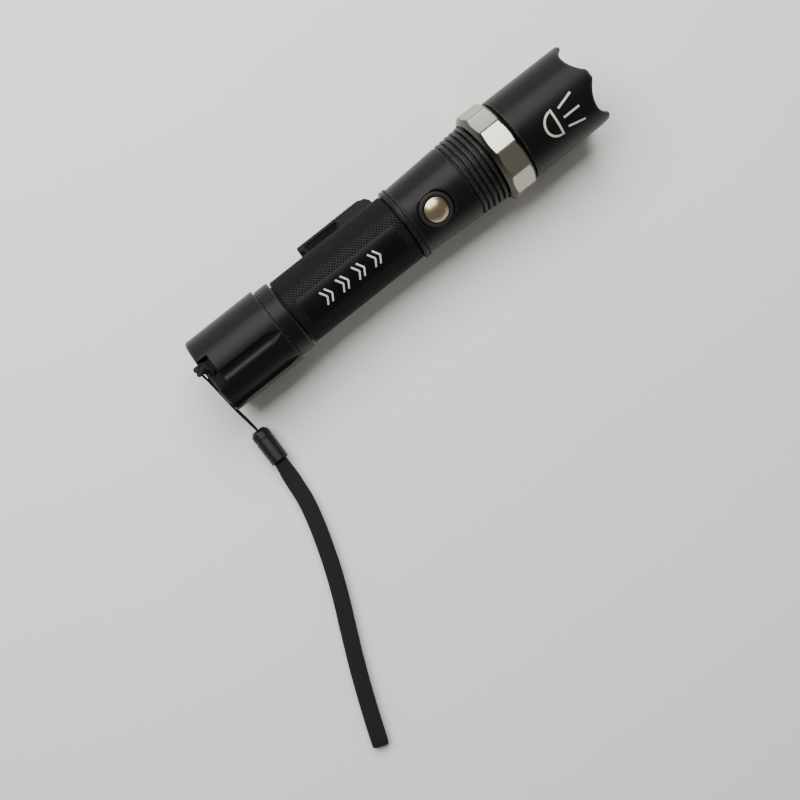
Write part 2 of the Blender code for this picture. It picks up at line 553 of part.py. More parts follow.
def make_lanyard(paint, cap):
    """The cord loops through the eye in the tail notch, and the strap leaves the ferrule's other end."""
    floor = -AXIS_HEIGHT
    cord_route = [(0.1, -22.6, 4.1), (0.0, -20.6, 5.0), (-0.35, -17.6, 7.8), (-0.7, -14.6, 11.2)]
    cord_route += [(-0.8, -11.2, 14.6), (-0.8, -8.0, 17.5), (-0.8, -5.0, 20.2), (-0.8, -2.8, 22.4)]
    cord_route += [(-0.7, -1.5, 23.8), (0.0, -0.96, 24.55), (1.2, -1.1, 25.75), (2.3, -1.2, 26.85)]
    cord_route += [(2.9, -0.9, 28.1), (2.0, 0.8, 28.9), (0.6, 2.0, 29.1), (-0.8, 2.0, 28.6), (-1.6, 0.8, 27.3)]
    cord_route += [(-1.8, -0.8, 25.6), (-1.8, -3.2, 22.9), (-1.85, -6.4, 19.6), (-1.85, -9.8, 16.2)]
    cord_route += [(-1.7, -13.2, 12.4), (-1.2, -16.8, 7.9), (-0.6, -19.2, 4.9), (-0.3, -20.8, 3.5)]
    cord_route += [(-0.1, -22.6, 2.7)]
    lifted = [Vector(point) + Vector((0, 0, floor)) for point in cord_route]
    tube_object("lanyard_cord", smooth_route(lifted, 1.6), CORD_R, paint["webbing"], cap)

    half = FERRULE_LENGTH / 2
    outline = [(-half + 1.5, 0), (-half + 1.5, 1.6), (-half, 1.9), (-half, 2.6), (-half + 1.0, FERRULE_R)]
    outline += [(half - 0.6, FERRULE_R), (half, FERRULE_R - 0.2), (half, FERRULE_MOUTH_R)]
    outline += [(half - 1.5, FERRULE_MOUTH_R), (half - 1.5, 0)]
    x, y, z = FERRULE_CENTRE
    mesh = turned_mesh("lanyard_ferrule", outline, segments=24, phase=math.radians(7.5))
    ferrule = place("lanyard_ferrule", mesh, cap, paint["plastic"], (x, y, z + floor))
    ferrule.rotation_euler = (0, 0, math.radians(-90 - FERRULE_YAW))

    strap_route = [(-0.15, -34.7, 3.4), (-0.45, -37.6, 3.1), (-0.8, -41.0, 2.4), (-1.2, -45.0, 2.0)]
    strap_route += [(-2.0, -52.0, 1.95), (-3.9, -60.0, 1.95), (-6.6, -68.6, 1.95), (-9.7, -77.2, 1.95)]
    strap_route += [(-13.5, -86.2, 1.95), (-17.9, -95.6, 1.95), (-22.2, -105.0, 1.95), (-26.3, -114.6, 1.95)]
    strap_route += [(-29.9, -123.6, 1.95), (-33.2, -132.8, 1.95)]
    lifted = [Vector(point) + Vector((0, 0, floor)) for point in strap_route]
    strap = strap_mesh("lanyard_strap", smooth_route(lifted, 3.0), STRAP_WIDTH, STRAP_THICKNESS)
    place("lanyard_strap", strap, cap, paint["webbing"])


def main():
    clear_scene()
    paint = make_materials()
    barrel = make_empty("barrel_axis", (-LENGTH / 2, 0, AXIS_HEIGHT))
    head = make_empty("head_axis", (0, 0, 0), barrel)
    cell = make_empty("battery_axis", (0, 0, 0), barrel)
    cap = make_empty("tail_cap_axis", (0, 0, 0), cell)
    button = make_empty("button_axis", (BUTTON_X, 0, 0), barrel, BUTTON_CLOCK)
    make_tail_cap(paint, cap)
    make_battery(paint, cell)
    make_tube(paint, barrel)
    housing = make_switch_housing(paint, barrel)
    make_switch(paint, barrel, housing, button)
    make_contact_board(paint, barrel)
    make_neck(paint, barrel)
    make_led(paint, barrel)
    make_wires(paint, barrel)
    make_head(paint, head)
    make_lens(paint, head)
    make_lanyard(paint, cap)


main()
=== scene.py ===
"""The looks of a zoom flashlight lying on a pale floor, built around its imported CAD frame.

Every piece is drawn in the light's own coordinates, in millimetres: x runs from the tail end face along the
axis, r is out from the axis, and a clock angle in degrees is 0 straight up and positive towards -Y.
"""

import math

import bmesh
import bpy
import numpy as np
from mathutils import Matrix, Vector


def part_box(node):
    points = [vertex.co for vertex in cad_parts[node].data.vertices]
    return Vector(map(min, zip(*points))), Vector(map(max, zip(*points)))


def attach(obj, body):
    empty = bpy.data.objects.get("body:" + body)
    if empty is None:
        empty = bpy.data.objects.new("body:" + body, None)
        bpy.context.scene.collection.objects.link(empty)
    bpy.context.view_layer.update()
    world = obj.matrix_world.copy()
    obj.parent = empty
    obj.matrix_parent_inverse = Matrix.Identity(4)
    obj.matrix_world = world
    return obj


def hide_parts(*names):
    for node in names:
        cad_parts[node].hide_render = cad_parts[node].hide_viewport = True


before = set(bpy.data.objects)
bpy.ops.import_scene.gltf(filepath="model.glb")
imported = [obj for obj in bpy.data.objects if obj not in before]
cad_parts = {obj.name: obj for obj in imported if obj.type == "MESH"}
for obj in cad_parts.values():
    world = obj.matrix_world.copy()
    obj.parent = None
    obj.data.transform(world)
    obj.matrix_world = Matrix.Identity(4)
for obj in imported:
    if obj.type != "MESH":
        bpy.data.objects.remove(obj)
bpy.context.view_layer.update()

MM = 0.001
TAIL_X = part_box("tail_cap")[0].x
AXIS_Z = sum(corner.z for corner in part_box("head_sleeve")) / 2
SMOOTH_ANGLE = math.radians(32)


def along(x):
    """A world X, in metres, as millimetres from the tail end face."""
    return (x - TAIL_X) / MM


def span(node):
    low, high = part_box(node)
    return along(low.x), along(high.x)


def outer_radius(node):
    low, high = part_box(node)
    return (high.y - low.y) / 2 / MM


# Sizes that the frame gives
LENGTH = span("head_sleeve")[1]
CAP_END = span("tail_cap")[1]
CAP_R = outer_radius("tail_cap")
TUBE_FRONT = span("switch_housing")[0] - 0.3
TUBE_R = outer_radius("battery_tube")
HOUSING_START, HOUSING_END = span("switch_housing")
HOUSING_FRONT_R = outer_radius("switch_housing")
NECK_START, SLIDE_END = span("finned_neck")
RING_START, RING_END = span("grip_ring")
RING_FLAT_R = outer_radius("grip_ring")
LENS_BACK, LENS_FRONT = span("lens")

# Sizes and angles that the design sets
CAP_COLLAR_R, CAP_BODY_END = 13.4, 28.4
THREAD_BORE_R, THREAD_R = 11.6, 11.2
FLUTE_CLOCKS = (18.0, 67.0, 198.0, 247.0)
FLUTE_R, FLUTE_DEPTH, FLUTE_TAPER_START, FLUTE_TIP = 2.77, 1.3, 23.5, 28.6
NOTCH_CLOCK, NOTCH_HALF_WIDTH, NOTCH_DEPTH, NOTCH_FLOOR_R = 6.9, 5.5, 4.3, 10.4
EYE_R, EYE_START = 0.9, (3.4, 0, 11.4)  # it slants at 45 degrees through the notch floor to the end face
TUBE_SHOULDER, TUBE_START, TUBE_BORE_R = 34.6, 13.0, 9.5
PANEL_CLOCK, PANEL_HALF_ANGLE, PANEL_START, PANEL_END = 24.0, 25.5, 38.2, 78.6
KNURL_STARTS, KNURL_PITCH, KNURL_HEIGHT, KNURL_SAMPLES = 64, 1.24, 0.36, 6
HOUSING_R, COLLAR_R = 13.0, 13.6
COLLAR_END = 84.9
BUTTON_X, BUTTON_CLOCK, BUTTON_R, BUTTON_TOP = 93.2, 23.0, 4.2, 14.3
SPOT_FACE_R, SPOT_FACE_HEIGHT = 6.6, 12.0
FIRST_FIN, FIN_PITCH, FIN_WIDTH, FINS = 107.2, 2.1, 1.3, 5
FIN_R, LAST_FIN_R, FIN_ROOT_R, SLIDE_R = 14.2, 14.7, 12.9, 12.5
HEAD_ORINGS, ORING_GROOVE, ORING_WIRE_R = (120.0, 130.0), 1.2, 0.38
RING_FLATS = 12
RING_CORNER_R = RING_FLAT_R / math.cos(math.pi / RING_FLATS)
RING_END_R, RING_CHAMFER, RING_BORE_R = 15.2, 1.9, 14.7
HEAD_R, HEAD_FRONT_R, SHANK_R, HEAD_BORE_R, MOUTH_R = 15.55, 15.3, 14.4, 13.0, 14.1
SCALLOPS, SCALLOP_TIP_CLOCK, SCALLOP_DEPTH, SCALLOP_HALF_WIDTH = 5, 6.0, 3.6, 7.6
CLIP_CLOCK, CLIP_START, CLIP_PAD, CLIP_SLOPE, CLIP_END = -100.0, 49.4, 66.4, 75.2, 79.2
CLIP_HALF_WIDTH, CLIP_OUTER_R, CLIP_THICKNESS = 3.6, 16.1, 1.5
CLIP_SCREWS = (68.9, 73.2)
CORD_R = 0.4
TUBE_SEAM = (0.3, 0.2, 0.93)  # any direction that no cord starts along
HEAD_SIGN_PLACE, PANEL_SIGN_PLACE = (144.4, 29.0), (58.5, 23.0)  # along the axis, and round it in degrees
RAY_PLACES = (-3.6, 0.0, 3.6)
FERRULE_R, FERRULE_LENGTH, FERRULE_CENTRE, FERRULE_YAW = 3.4, 13.0, (-0.05, -28.9), 1.0
STRAP_WIDTH, STRAP_THICKNESS, STRAP_RISE = 5.7, 1.6, 2.1
STRAP_GATHER, STRAP_GATHER_LENGTH = 0.78, 7.0  # its size in the ferrule, and how soon it is full


# ---------------------------------------------------------------- camera, floor and light

CAMERA_DISTANCE = 0.41
CAMERA_LEAN = math.radians(10)  # towards -Y, about the light's axis
CAMERA_ROLL = math.radians(38.3)  # the axis above the picture's horizontal
CAMERA_FOOT = 36.0  # the point of the axis that the camera stands straight over
CAMERA_AIM = (9.1, 45.9)  # along the axis and across it, from that foot
FRAME_WIDTH = 0.272  # seen at the axis


def add_camera():
    foot = Vector((TAIL_X + CAMERA_FOOT * MM, 0, AXIS_Z))
    towards = Vector((0, -math.sin(CAMERA_LEAN), math.cos(CAMERA_LEAN)))
    down = Vector((0, -math.cos(CAMERA_LEAN), -math.sin(CAMERA_LEAN)))
    place = foot + towards * CAMERA_DISTANCE
    aim = foot + Vector((CAMERA_AIM[0] * MM, 0, 0)) + down * CAMERA_AIM[1] * MM
    up = Vector((math.sin(CAMERA_ROLL), 0, 0)) - down * math.cos(CAMERA_ROLL)
    back = (place - aim).normalized()
    right = up.cross(back).normalized()
    true_up = back.cross(right)
    data = bpy.data.cameras.new("camera")
    data.sensor_width = 36.0
    data.lens = data.sensor_width * CAMERA_DISTANCE / FRAME_WIDTH
    data.clip_start = 0.01
    camera = bpy.data.objects.new("camera", data)
    camera.matrix_world = Matrix((right, true_up, back)).transposed().to_4x4()
    camera.location = place
    bpy.context.scene.collection.objects.link(camera)
    bpy.context.scene.camera = camera


def add_area_light(name, place, aim, size, power, colour=(1, 1, 1)):
    data = bpy.data.lights.new(name, "AREA")
    data.shape = "RECTANGLE"
    data.size, data.size_y = size
    data.energy = power
    data.color = colour
    light = bpy.data.objects.new(name, data)
    light.location = place
    light.rotation_euler = (Vector(aim) - Vector(place)).to_track_quat("-Z", "Y").to_euler()
    bpy.context.scene.collection.objects.link(light)


def add_studio():
    world = bpy.data.worlds.new("studio")
    world.use_nodes = True
    background = world.node_tree.nodes["Background"]
    background.inputs["Color"].default_value = (1.0, 0.97, 0.88, 1)
    background.inputs["Strength"].default_value = 0.24
    bpy.context.scene.world = world
    middle = (0.0, -0.02, AXIS_Z)
    add_area_light("key_softbox", (0.0, 0.29, 0.55), middle, (0.80, 0.50), 7.8, (1.0, 0.985, 0.95))
    add_area_light("rear_strip", (0.10, 0.60, 0.17), middle, (0.8, 0.12), 0.9, (0.84, 0.92, 1.0))

    bpy.ops.mesh.primitive_plane_add(size=6.0, location=(0, 0, -0.0004))
    floor = bpy.context.object
    floor.name = "floor"
    floor.data.materials.append(plain_material("floor_paint", (0.88, 0.88, 0.875), 0.85))


# ---------------------------------------------------------------- material helpers

POLISH_LINES = (60.0, 9000.0, 9000.0)  # how fine the marks are along each local axis: long along X


def new_material(name):
    material = bpy.data.materials.new(name)
    material.use_nodes = True
    tree = material.node_tree
    return material, tree, tree.nodes["Principled BSDF"]


def plain_material(name, colour, roughness, metallic=0.0):
    material, _, shader = new_material(name)
    shader.inputs["Base Color"].default_value = (*colour, 1)
    shader.inputs["Roughness"].default_value = roughness
    shader.inputs["Metallic"].default_value = metallic
    return material


def add_node(tree, kind, inputs=None, **settings):
    node = tree.nodes.new(kind)
    for key, value in settings.items():
        setattr(node, key, value)
    for key, value in (inputs or {}).items():
        if isinstance(value, bpy.types.NodeSocket):
            tree.links.new(value, node.inputs[key])
        else:
            node.inputs[key].default_value = value
    return node


def object_point(tree):
    return add_node(tree, "ShaderNodeTexCoord").outputs["Object"]


def noise(tree, scale, detail=3.0, point=None, roughness=0.55):
    """Noise whose features are about 1/scale metres across."""
    inputs = {"Vector": point or object_point(tree), "Scale": scale, "Detail": detail, "Roughness": roughness}
    return add_node(tree, "ShaderNodeTexNoise", inputs).outputs["Fac"]


def scaled(tree, value, low, high):
    """A value from 0 to 1 carried to low to high."""
    inputs = {"Value": value, "To Min": low, "To Max": high}
    return add_node(tree, "ShaderNodeMapRange", inputs).outputs["Result"]


def math_node(tree, operation, first, second=0.0, third=0.0):
    return add_node(tree, "ShaderNodeMath", {0: first, 1: second, 2: third}, operation=operation).outputs[0]


def mixed(tree, factor, first, second):
    """One colour turning into another. A Mix node's sockets go by number, as their names repeat."""
    first, second = (c if isinstance(c, bpy.types.NodeSocket) else (*c, 1) for c in (first, second))
    return add_node(tree, "ShaderNodeMix", {0: factor, 6: first, 7: second}, data_type="RGBA").outputs[2]


def tinted(colour, factor):
    return tuple(factor * c for c in colour)


def clamped(tree, value):
    return add_node(tree, "ShaderNodeClamp", {"Value": value}).outputs[0]


def edge_mark(tree):
    """The mesh's own mark, 1 on broken edges and knurl tops."""
    return add_node(tree, "ShaderNodeAttribute", attribute_name="edge").outputs["Fac"]


def colour_from(tree, shader, colour):
    tree.links.new(colour, shader.inputs["Base Color"])


def roughness_from(tree, shader, value, low, high):
    tree.links.new(scaled(tree, value, low, high), shader.inputs["Roughness"])


def bump(tree, shader, height, strength, distance):
    inputs = {"Height": height, "Strength": strength, "Distance": distance}
    tree.links.new(add_node(tree, "ShaderNodeBump", inputs).outputs["Normal"], shader.inputs["Normal"])


def anodised(name, colour=(0.0062, 0.0062, 0.0066), roughness=0.35, lighter_edges=(0.07, 0.07, 0.07), shine=0.15):
    """Black anodising over bead-blasted metal: fine grain, faint clouding, and lighter edges, which are
    rubbed wear on most pieces and a painted highlight on the clip, where the edge colour is near white.
    """
    material, tree, shader = new_material(name)
    cloud = noise(tree, 90.0)
    fine = noise(tree, 9000.0, 2.0)
    edge = edge_mark(tree)
    # marked edges turn lighter: rubbed wear, and on the clip a painted highlight
    edge_wear_and_highlight = math_node(tree, "MULTIPLY", edge, scaled(tree, noise(tree, 1100.0, 4.0), -0.55, 1.1))
    base = mixed(tree, cloud, tinted(colour, 0.75), tinted(colour, 1.25))
    colour_from(tree, shader, mixed(tree, clamped(tree, edge_wear_and_highlight), base, lighter_edges))
    roughness_from(tree, shader, cloud, roughness - 0.05, roughness + 0.06)
    shader.inputs["Specular IOR Level"].default_value = shine
    bump(tree, shader, fine, 0.10, 0.00006)
    return material


def knurled_metal():
    """The same anodising on a cut knurl, with the diamonds' tops rubbed a little brighter."""
    material, tree, shader = new_material("knurled_anodising")
    lighter_edges = math_node(tree, "MULTIPLY", edge_mark(tree), scaled(tree, noise(tree, 260.0, 4.0), -0.2, 0.9))
    base = mixed(tree, clamped(tree, lighter_edges), (0.0055, 0.0055, 0.006), (0.022, 0.022, 0.023))
    colour_from(tree, shader, base)
    shader.inputs["Roughness"].default_value = 0.40
    shader.inputs["Specular IOR Level"].default_value = 0.16
    bump(tree, shader, noise(tree, 9000.0, 2.0), 0.08, 0.00005)
    return material


def polished_metal(name, colour, roughness):
    """Bare metal with fine straight polishing lines along one local axis and faint smears."""
    material, tree, shader = new_material(name)
    stretched = add_node(tree, "ShaderNodeMapping", {"Vector": object_point(tree), "Scale": POLISH_LINES})
    lines = noise(tree, 1.0, 2.0, stretched.outputs["Vector"])
    smear = noise(tree, 140.0, 4.0)
    shade = mixed(tree, smear, tinted(colour, 0.92), colour)
    colour_from(tree, shader, mixed(tree, edge_mark(tree), shade, tinted(colour, 1.1)))
    roughness_from(tree, shader, lines, roughness - 0.04, roughness + 0.06)
    shader.inputs["Metallic"].default_value = 1.0
    bump(tree, shader, lines, 0.12, 0.00002)
    return material


def turned_metal(name, colour, roughness):
    """Bare metal with the concentric marks of a lathe about the piece's own Z axis."""
    material, tree, shader = new_material(name)
    parts = add_node(tree, "ShaderNodeSeparateXYZ", {"Vector": object_point(tree)}).outputs
    squares = [math_node(tree, "MULTIPLY", parts[i], parts[i]) for i in range(2)]
    radius = math_node(tree, "SQRT", math_node(tree, "ADD", *squares))
    lathe_feed = 0.16 * MM
    rings = math_node(tree, "SINE", math_node(tree, "MULTIPLY", radius, 2 * math.pi / lathe_feed))
    ragged = math_node(tree, "MULTIPLY_ADD", noise(tree, 4000.0, 3.0), 1.4, rings)
    colour_from(tree, shader, mixed(tree, noise(tree, 500.0), tinted(colour, 0.9), colour))
    roughness_from(tree, shader, noise(tree, 700.0), roughness - 0.04, roughness + 0.05)
    shader.inputs["Metallic"].default_value = 1.0
    bump(tree, shader, ragged, 0.16, 0.00001)
    return material


def moulded(name, colour, roughness, grain=6000.0, strength=0.12):
    """Moulded rubber or plastic with a fine grain and faint clouding."""
    material, tree, shader = new_material(name)
    cloud = noise(tree, 220.0)
    colour_from(tree, shader, mixed(tree, cloud, tinted(colour, 0.8), tinted(colour, 1.2)))
    roughness_from(tree, shader, cloud, roughness - 0.05, roughness + 0.05)
    shader.inputs["Specular IOR Level"].default_value = 0.32
    bump(tree, shader, noise(tree, grain, 2.0), strength, 0.00004)
    return material


def webbing():
    """Woven polyester: the yarns are modelled, and each has fine twisted fibres and a soft sheen."""
    material, tree, shader = new_material("woven_webbing")
    fibres = noise(tree, 5200.0, 4.0, roughness=0.7)
    cloud = noise(tree, 300.0)
    base = mixed(tree, fibres, (0.003, 0.003, 0.0033), (0.014, 0.014, 0.015))
    faded = math_node(tree, "MULTIPLY", cloud, 0.35)
    colour_from(tree, shader, mixed(tree, faded, base, (0.010, 0.010, 0.010)))
    shader.inputs["Roughness"].default_value = 0.82
    shader.inputs["Specular IOR Level"].default_value = 0.25
    shader.inputs["Sheen Weight"].default_value = 0.06
    shader.inputs["Sheen Roughness"].default_value = 0.45
    bump(tree, shader, fibres, 0.5, 0.00012)
    return material


def lens_glass():
    material, tree, shader = new_material("lens_glass")
    shader.inputs["Base Color"].default_value = (0.96, 0.98, 1.0, 1)
    shader.inputs["Transmission Weight"].default_value = 1.0
    shader.inputs["IOR"].default_value = 1.49
    roughness_from(tree, shader, noise(tree, 400.0, 4.0), 0.0, 0.03)
    return material


def circuit_board():
    material, tree, shader = new_material("circuit_board")
    place = {"Vector": object_point(tree), "Scale": 700.0}
    cells = add_node(tree, "ShaderNodeTexVoronoi", place, feature="DISTANCE_TO_EDGE")
    edges = {"Value": cells.outputs["Distance"], "From Min": 0.05, "From Max": 0.09}
    trace = add_node(tree, "ShaderNodeMapRange", edges).outputs["Result"]
    colour_from(tree, shader, mixed(tree, trace, (0.05, 0.26, 0.10), (0.02, 0.12, 0.05)))
    shader.inputs["Roughness"].default_value = 0.38
    bump(tree, shader, trace, 0.3, 0.00004)
    return material


def phosphor():
    material, tree, shader = new_material("emitter_phosphor")
    colour_from(tree, shader, mixed(tree, noise(tree, 2500.0), (0.86, 0.66, 0.12), (0.93, 0.78, 0.26)))
    shader.inputs["Roughness"].default_value = 0.25
    shader.inputs["Coat Weight"].default_value = 0.8
    shader.inputs["Coat Roughness"].default_value = 0.03
    return material


def make_materials():
    return {
        "black": anodised("black_anodising"),
        "head": anodised("head_anodising", (0.0058, 0.0058, 0.006), 0.36),
        # the clip's near-white edge colour is a painted highlight along its outer top edge, and its slightly
        # darker base colour is painted shade on its side
        "clip": anodised("clip_anodising", (0.0045, 0.0045, 0.0048), 0.46, lighter_edges=(0.9, 0.9, 0.88), shine=0.10),
        "panel": anodised("panel_anodising", (0.0035, 0.0035, 0.0038), 0.34),
        "knurl": knurled_metal(),
        "ring": polished_metal("polished_ring", (0.42, 0.40, 0.35), 0.15),
        # a much darker copy of the ring's polished metal: painted shade on the ring's conical ends
        "shaded_chamfers": polished_metal("ring_chamfer_painted_shade", (0.075, 0.072, 0.06), 0.28),
        "spring": polished_metal("spring_wire", (0.62, 0.62, 0.62), 0.24),
        "screw": turned_metal("blackened_screw", (0.09, 0.09, 0.095), 0.34),
        "button": turned_metal("turned_button", (0.46, 0.39, 0.26), 0.30),
        "brass": polished_metal("turned_brass", (0.70, 0.49, 0.20), 0.24),
        "rubber": moulded("seal_rubber", (0.014, 0.014, 0.015), 0.62),
        "ferrule": moulded("ferrule_plastic", (0.007, 0.007, 0.0075), 0.38, 3000.0, 0.1),
        "webbing": webbing(),
        "lens": lens_glass(),
        "board": circuit_board(),
        "white": moulded("white_coating", (0.66, 0.66, 0.64), 0.4, 2500.0, 0.05),
        "phosphor": phosphor(),
        "cell": moulded("cell_wrap", (0.04, 0.15, 0.42), 0.3, 900.0, 0.05),
        "wire": moulded("wire_cover", (0.42, 0.03, 0.02), 0.4),
        "mark": moulded("printed_mark", (0.62, 0.62, 0.60), 0.45, 3000.0, 0.05),
    }


# ---------------------------------------------------------------- mesh helpers


def world_points(x, r, clock):
    """Arrays of x, r and clock angle in radians as an array of world points in metres."""
    x, r, clock = np.broadcast_arrays(x, r, clock)
    return np.stack([x * MM + TAIL_X, -r * np.sin(clock) * MM, r * np.cos(clock) * MM + AXIS_Z], axis=-1)


def mesh_object(name, points, faces, material, edge=None):
    mesh = bpy.data.meshes.new(name)
    mesh.from_pydata([tuple(p) for p in points], [], faces)
    if edge is not None:
        mesh.attributes.new("edge", "FLOAT", "POINT").data.foreach_set("value", np.asarray(edge, np.float32))
    bm = bmesh.new()
    bm.from_mesh(mesh)
    bmesh.ops.remove_doubles(bm, verts=bm.verts, dist=1e-7)
    bmesh.ops.dissolve_degenerate(bm, edges=bm.edges, dist=1e-8)
    bmesh.ops.recalc_face_normals(bm, faces=bm.faces)
    bm.to_mesh(mesh)
    bm.free()
    mesh.materials.append(material)
    mesh.shade_smooth()
    mesh.set_sharp_from_angle(angle=SMOOTH_ANGLE)
    obj = bpy.data.objects.new(name, mesh)
    bpy.context.scene.collection.objects.link(obj)
    return obj


def grid_faces(rows, columns, wrap_rows=False):
    """Four-sided faces over rings of points, and from the last ring to the first if the rows wrap."""
    faces = []
    for i in range(rows if wrap_rows else rows - 1):
        for j in range(columns):
            a, b = i * columns + j, i * columns + (j + 1) % columns
            below = (i + 1) % rows * columns
            faces.append((a, b, below + (j + 1) % columns, below + j))
    return faces


def rounded(outline, fillet=0.22, steps=3, closed=True):
    """The outline's corners as arcs, each with a close support point, and 1 for each point of an arc.

    A corner may state its own fillet as a third number. Returns x, r and edge arrays.
    """
    found = []
    count = len(outline)
    for i, corner in enumerate(outline):
        point = np.array(corner[:2], float)
        size = corner[2] if len(corner) > 2 else fillet
        if size == 0 or (not closed and i in (0, count - 1)):
            found.append((*point, 0.0))
            continue
        before = np.array(outline[i - 1][:2], float) - point
        after = np.array(outline[(i + 1) % count][:2], float) - point
        room = min(np.linalg.norm(before), np.linalg.norm(after))
        before, after = before / np.linalg.norm(before), after / np.linalg.norm(after)
        half = math.acos(np.clip(before @ after, -1, 1)) / 2
        if half > math.radians(89):
            found.append((*point, 0.0))
            continue
        back = min(size / math.tan(half), 0.4 * room)
        radius = back * math.tan(half)
        centre = point + (before + after) / np.linalg.norm(before + after) * radius / math.sin(half)
        start, end = point + before * back - centre, point + after * back - centre
        turn = math.pi - 2 * half
        found.append((*(point + before * min(back + 0.05, 0.45 * room)), 0.0))
        for k in range(steps + 1):
            share = k / steps
            arm = (start * math.sin((1 - share) * turn) + end * math.sin(share * turn)) / math.sin(turn)
            found.append((*(centre + arm), 1.0))
        found.append((*(point + after * min(back + 0.05, 0.45 * room)), 0.0))
    return np.array(found).T


def turned(name, outline, material, segments=192, fillet=0.22, closed=True):
    """A part turned about the light's axis from an (x, r) outline, with rounded corners."""
    x, r, edge = rounded(outline, fillet, closed=closed)
    clock = np.linspace(0, 2 * math.pi, segments, endpoint=False)
    points = world_points(x[:, None], r[:, None], clock[None, :])
    faces = grid_faces(len(x), segments, wrap_rows=closed)
    return mesh_object(name, points.reshape(-1, 3), faces, material, np.repeat(edge, segments))


def lofted(name, rows, clock, material, wrap_rows):
    """Rings round the light's axis, each given as an (x, r, edge mark) row over the clock angles."""
    xs, rs = (np.vstack([row[k] for row in rows]) for k in range(2))
    edge = np.repeat([row[2] for row in rows], clock.shape[1])
    points = world_points(xs, rs, np.broadcast_to(clock, xs.shape))
    faces = grid_faces(len(rows), clock.shape[1], wrap_rows=wrap_rows)
    return mesh_object(name, points.reshape(-1, 3), faces, material, edge)


def level_rows(outline, fillet, clock):
    """The rows of a rounded open outline that is the same at every clock angle."""
    points = zip(*rounded(outline, fillet, closed=False))
    return [(x + 0 * clock, r + 0 * clock, mark) for x, r, mark in points]


def turned_on_side(name, outline, material, place, segments=96, fillet=0.1, closed=True):
    """A part turned about a radial axis from (height, radius) points; place is (x, clock in degrees)."""
    height, radius, edge = rounded(outline, fillet, closed=closed)
    angle = np.linspace(0, 2 * math.pi, segments, endpoint=False)
    radius, angle = radius[:, None], angle[None, :]
    points = np.stack([radius * np.cos(angle), radius * np.sin(angle), height[:, None] + 0 * angle], -1) * MM
    faces = grid_faces(len(height), segments, wrap_rows=closed)
    obj = mesh_object(name, points.reshape(-1, 3), faces, material, np.repeat(edge, segments))
    x, clock = place
    turn = Matrix.Rotation(math.radians(clock), 4, "X")
    obj.matrix_world = Matrix.Translation((TAIL_X + x * MM, 0, AXIS_Z)) @ turn
    return obj


def finish_piece(obj, body, slot, *nodes):
    if nodes:
        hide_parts(*nodes)
    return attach(obj, body)


def smooth_route(points, spacing):
    """Points evenly read from one smooth curve through the route's own points."""
    route = np.array(points, float)
    tangents = np.gradient(route, axis=0)
    dense = []
    for i in range(len(route) - 1):
        for t in np.linspace(0, 1, 24, endpoint=False):
            a, b = 2 * t**3 - 3 * t**2 + 1, t**3 - 2 * t**2 + t
            c, d = -2 * t**3 + 3 * t**2, t**3 - t**2
            dense.append(a * route[i] + b * tangents[i] + c * route[i + 1] + d * tangents[i + 1])
    dense = np.array([*dense, route[-1]])
    lengths = walked_along(dense)
    wanted = np.linspace(0, lengths[-1], max(3, round(lengths[-1] / spacing) + 1))
    return np.stack([np.interp(wanted, lengths, dense[:, k]) for k in range(3)], axis=1)


def lay_out(route):
    """Route points of (x from the tail, Y, Z), in millimetres, as world points in metres."""
    return np.asarray(route, float) * MM + np.array([TAIL_X, 0, 0])


def walked_along(points):
    """How far along a route each of its points is."""
    return np.concatenate([[0], np.cumsum(np.linalg.norm(np.diff(points, axis=0), axis=1))])


def directions(points):
    """The unit direction of a route at each of its points."""
    ahead = np.gradient(points, axis=0)
    return ahead / np.linalg.norm(ahead, axis=1)[:, None]


# ---------------------------------------------------------------- lanyard

CORD_ROUTE = [
    (0.1, -22.6, 4.1), (0.05, -20.4, 5.0), (-0.1, -17.3, 7.6), (-0.35, -14.1, 10.9), (-0.5, -10.9, 14.2),
    (-0.5, -7.7, 17.5), (-0.5, -4.7, 20.6), (-0.5, -2.6, 22.7), (-0.45, -1.6, 23.8), (0.1, -0.98, 24.65),
    (1.2, -1.1, 25.75), (2.3, -1.2, 26.85), (2.9, -0.9, 28.1), (2.1, 0.7, 28.9), (0.9, 1.9, 28.9),
    (-0.2, 2.1, 28.5), (-0.8, 1.2, 27.7), (-0.9, -0.3, 26.4), (-0.75, -1.8, 24.9), (-0.7, -3.3, 23.3),
    (-0.7, -5.4, 21.2), (-0.7, -8.4, 18.1), (-0.7, -11.5, 14.8), (-0.6, -14.7, 11.3), (-0.4, -17.9, 7.5),
    (-0.25, -20.6, 4.0), (-0.1, -22.6, 2.7),
]  # fmt: skip
KNOT_CENTRE, KNOT_R, KNOT_WAVE, KNOT_CORD_R = (-0.2, 2.1, 28.2), 1.3, 0.6, 0.7
STRAP_ROUTE = [
    (-0.15, -34.7, 3.4), (-0.45, -37.6, 3.1), (-0.8, -41.0, 2.4), (-1.2, -45.0, 2.0), (-2.0, -52.0, 1.95),
    (-3.9, -60.0, 1.95), (-6.6, -68.6, 1.95), (-9.7, -77.2, 1.95), (-13.5, -86.2, 1.95), (-17.9, -95.6, 1.95),
    (-22.2, -105.0, 1.95), (-26.3, -114.6, 1.95), (-29.9, -123.6, 1.95), (-32.9, -131.6, 1.95),
]  # fmt: skip


def tube_rings(points, radius, angle):
    """Rings of points round a route, each turned as little as possible from the one before."""
    tangents = directions(points)
    side = np.cross(tangents[0], TUBE_SEAM)
    sides = []
    for tangent in tangents:
        side = side - tangent * (tangent @ side)
        side /= np.linalg.norm(side)
        sides.append(side)
    sides = np.array(sides)
    ups = np.cross(sides, tangents)
    round_it = np.cos(angle)[..., None] * sides[:, None, :] + np.sin(angle)[..., None] * ups[:, None, :]
    return points[:, None, :] + radius * round_it


def tube_faces(count, sides):
    """The faces of a tube of rings, with flat ends."""
    last = (count - 1) * sides
    return grid_faces(count, sides) + [tuple(range(sides)), tuple(range(last, last + sides))]


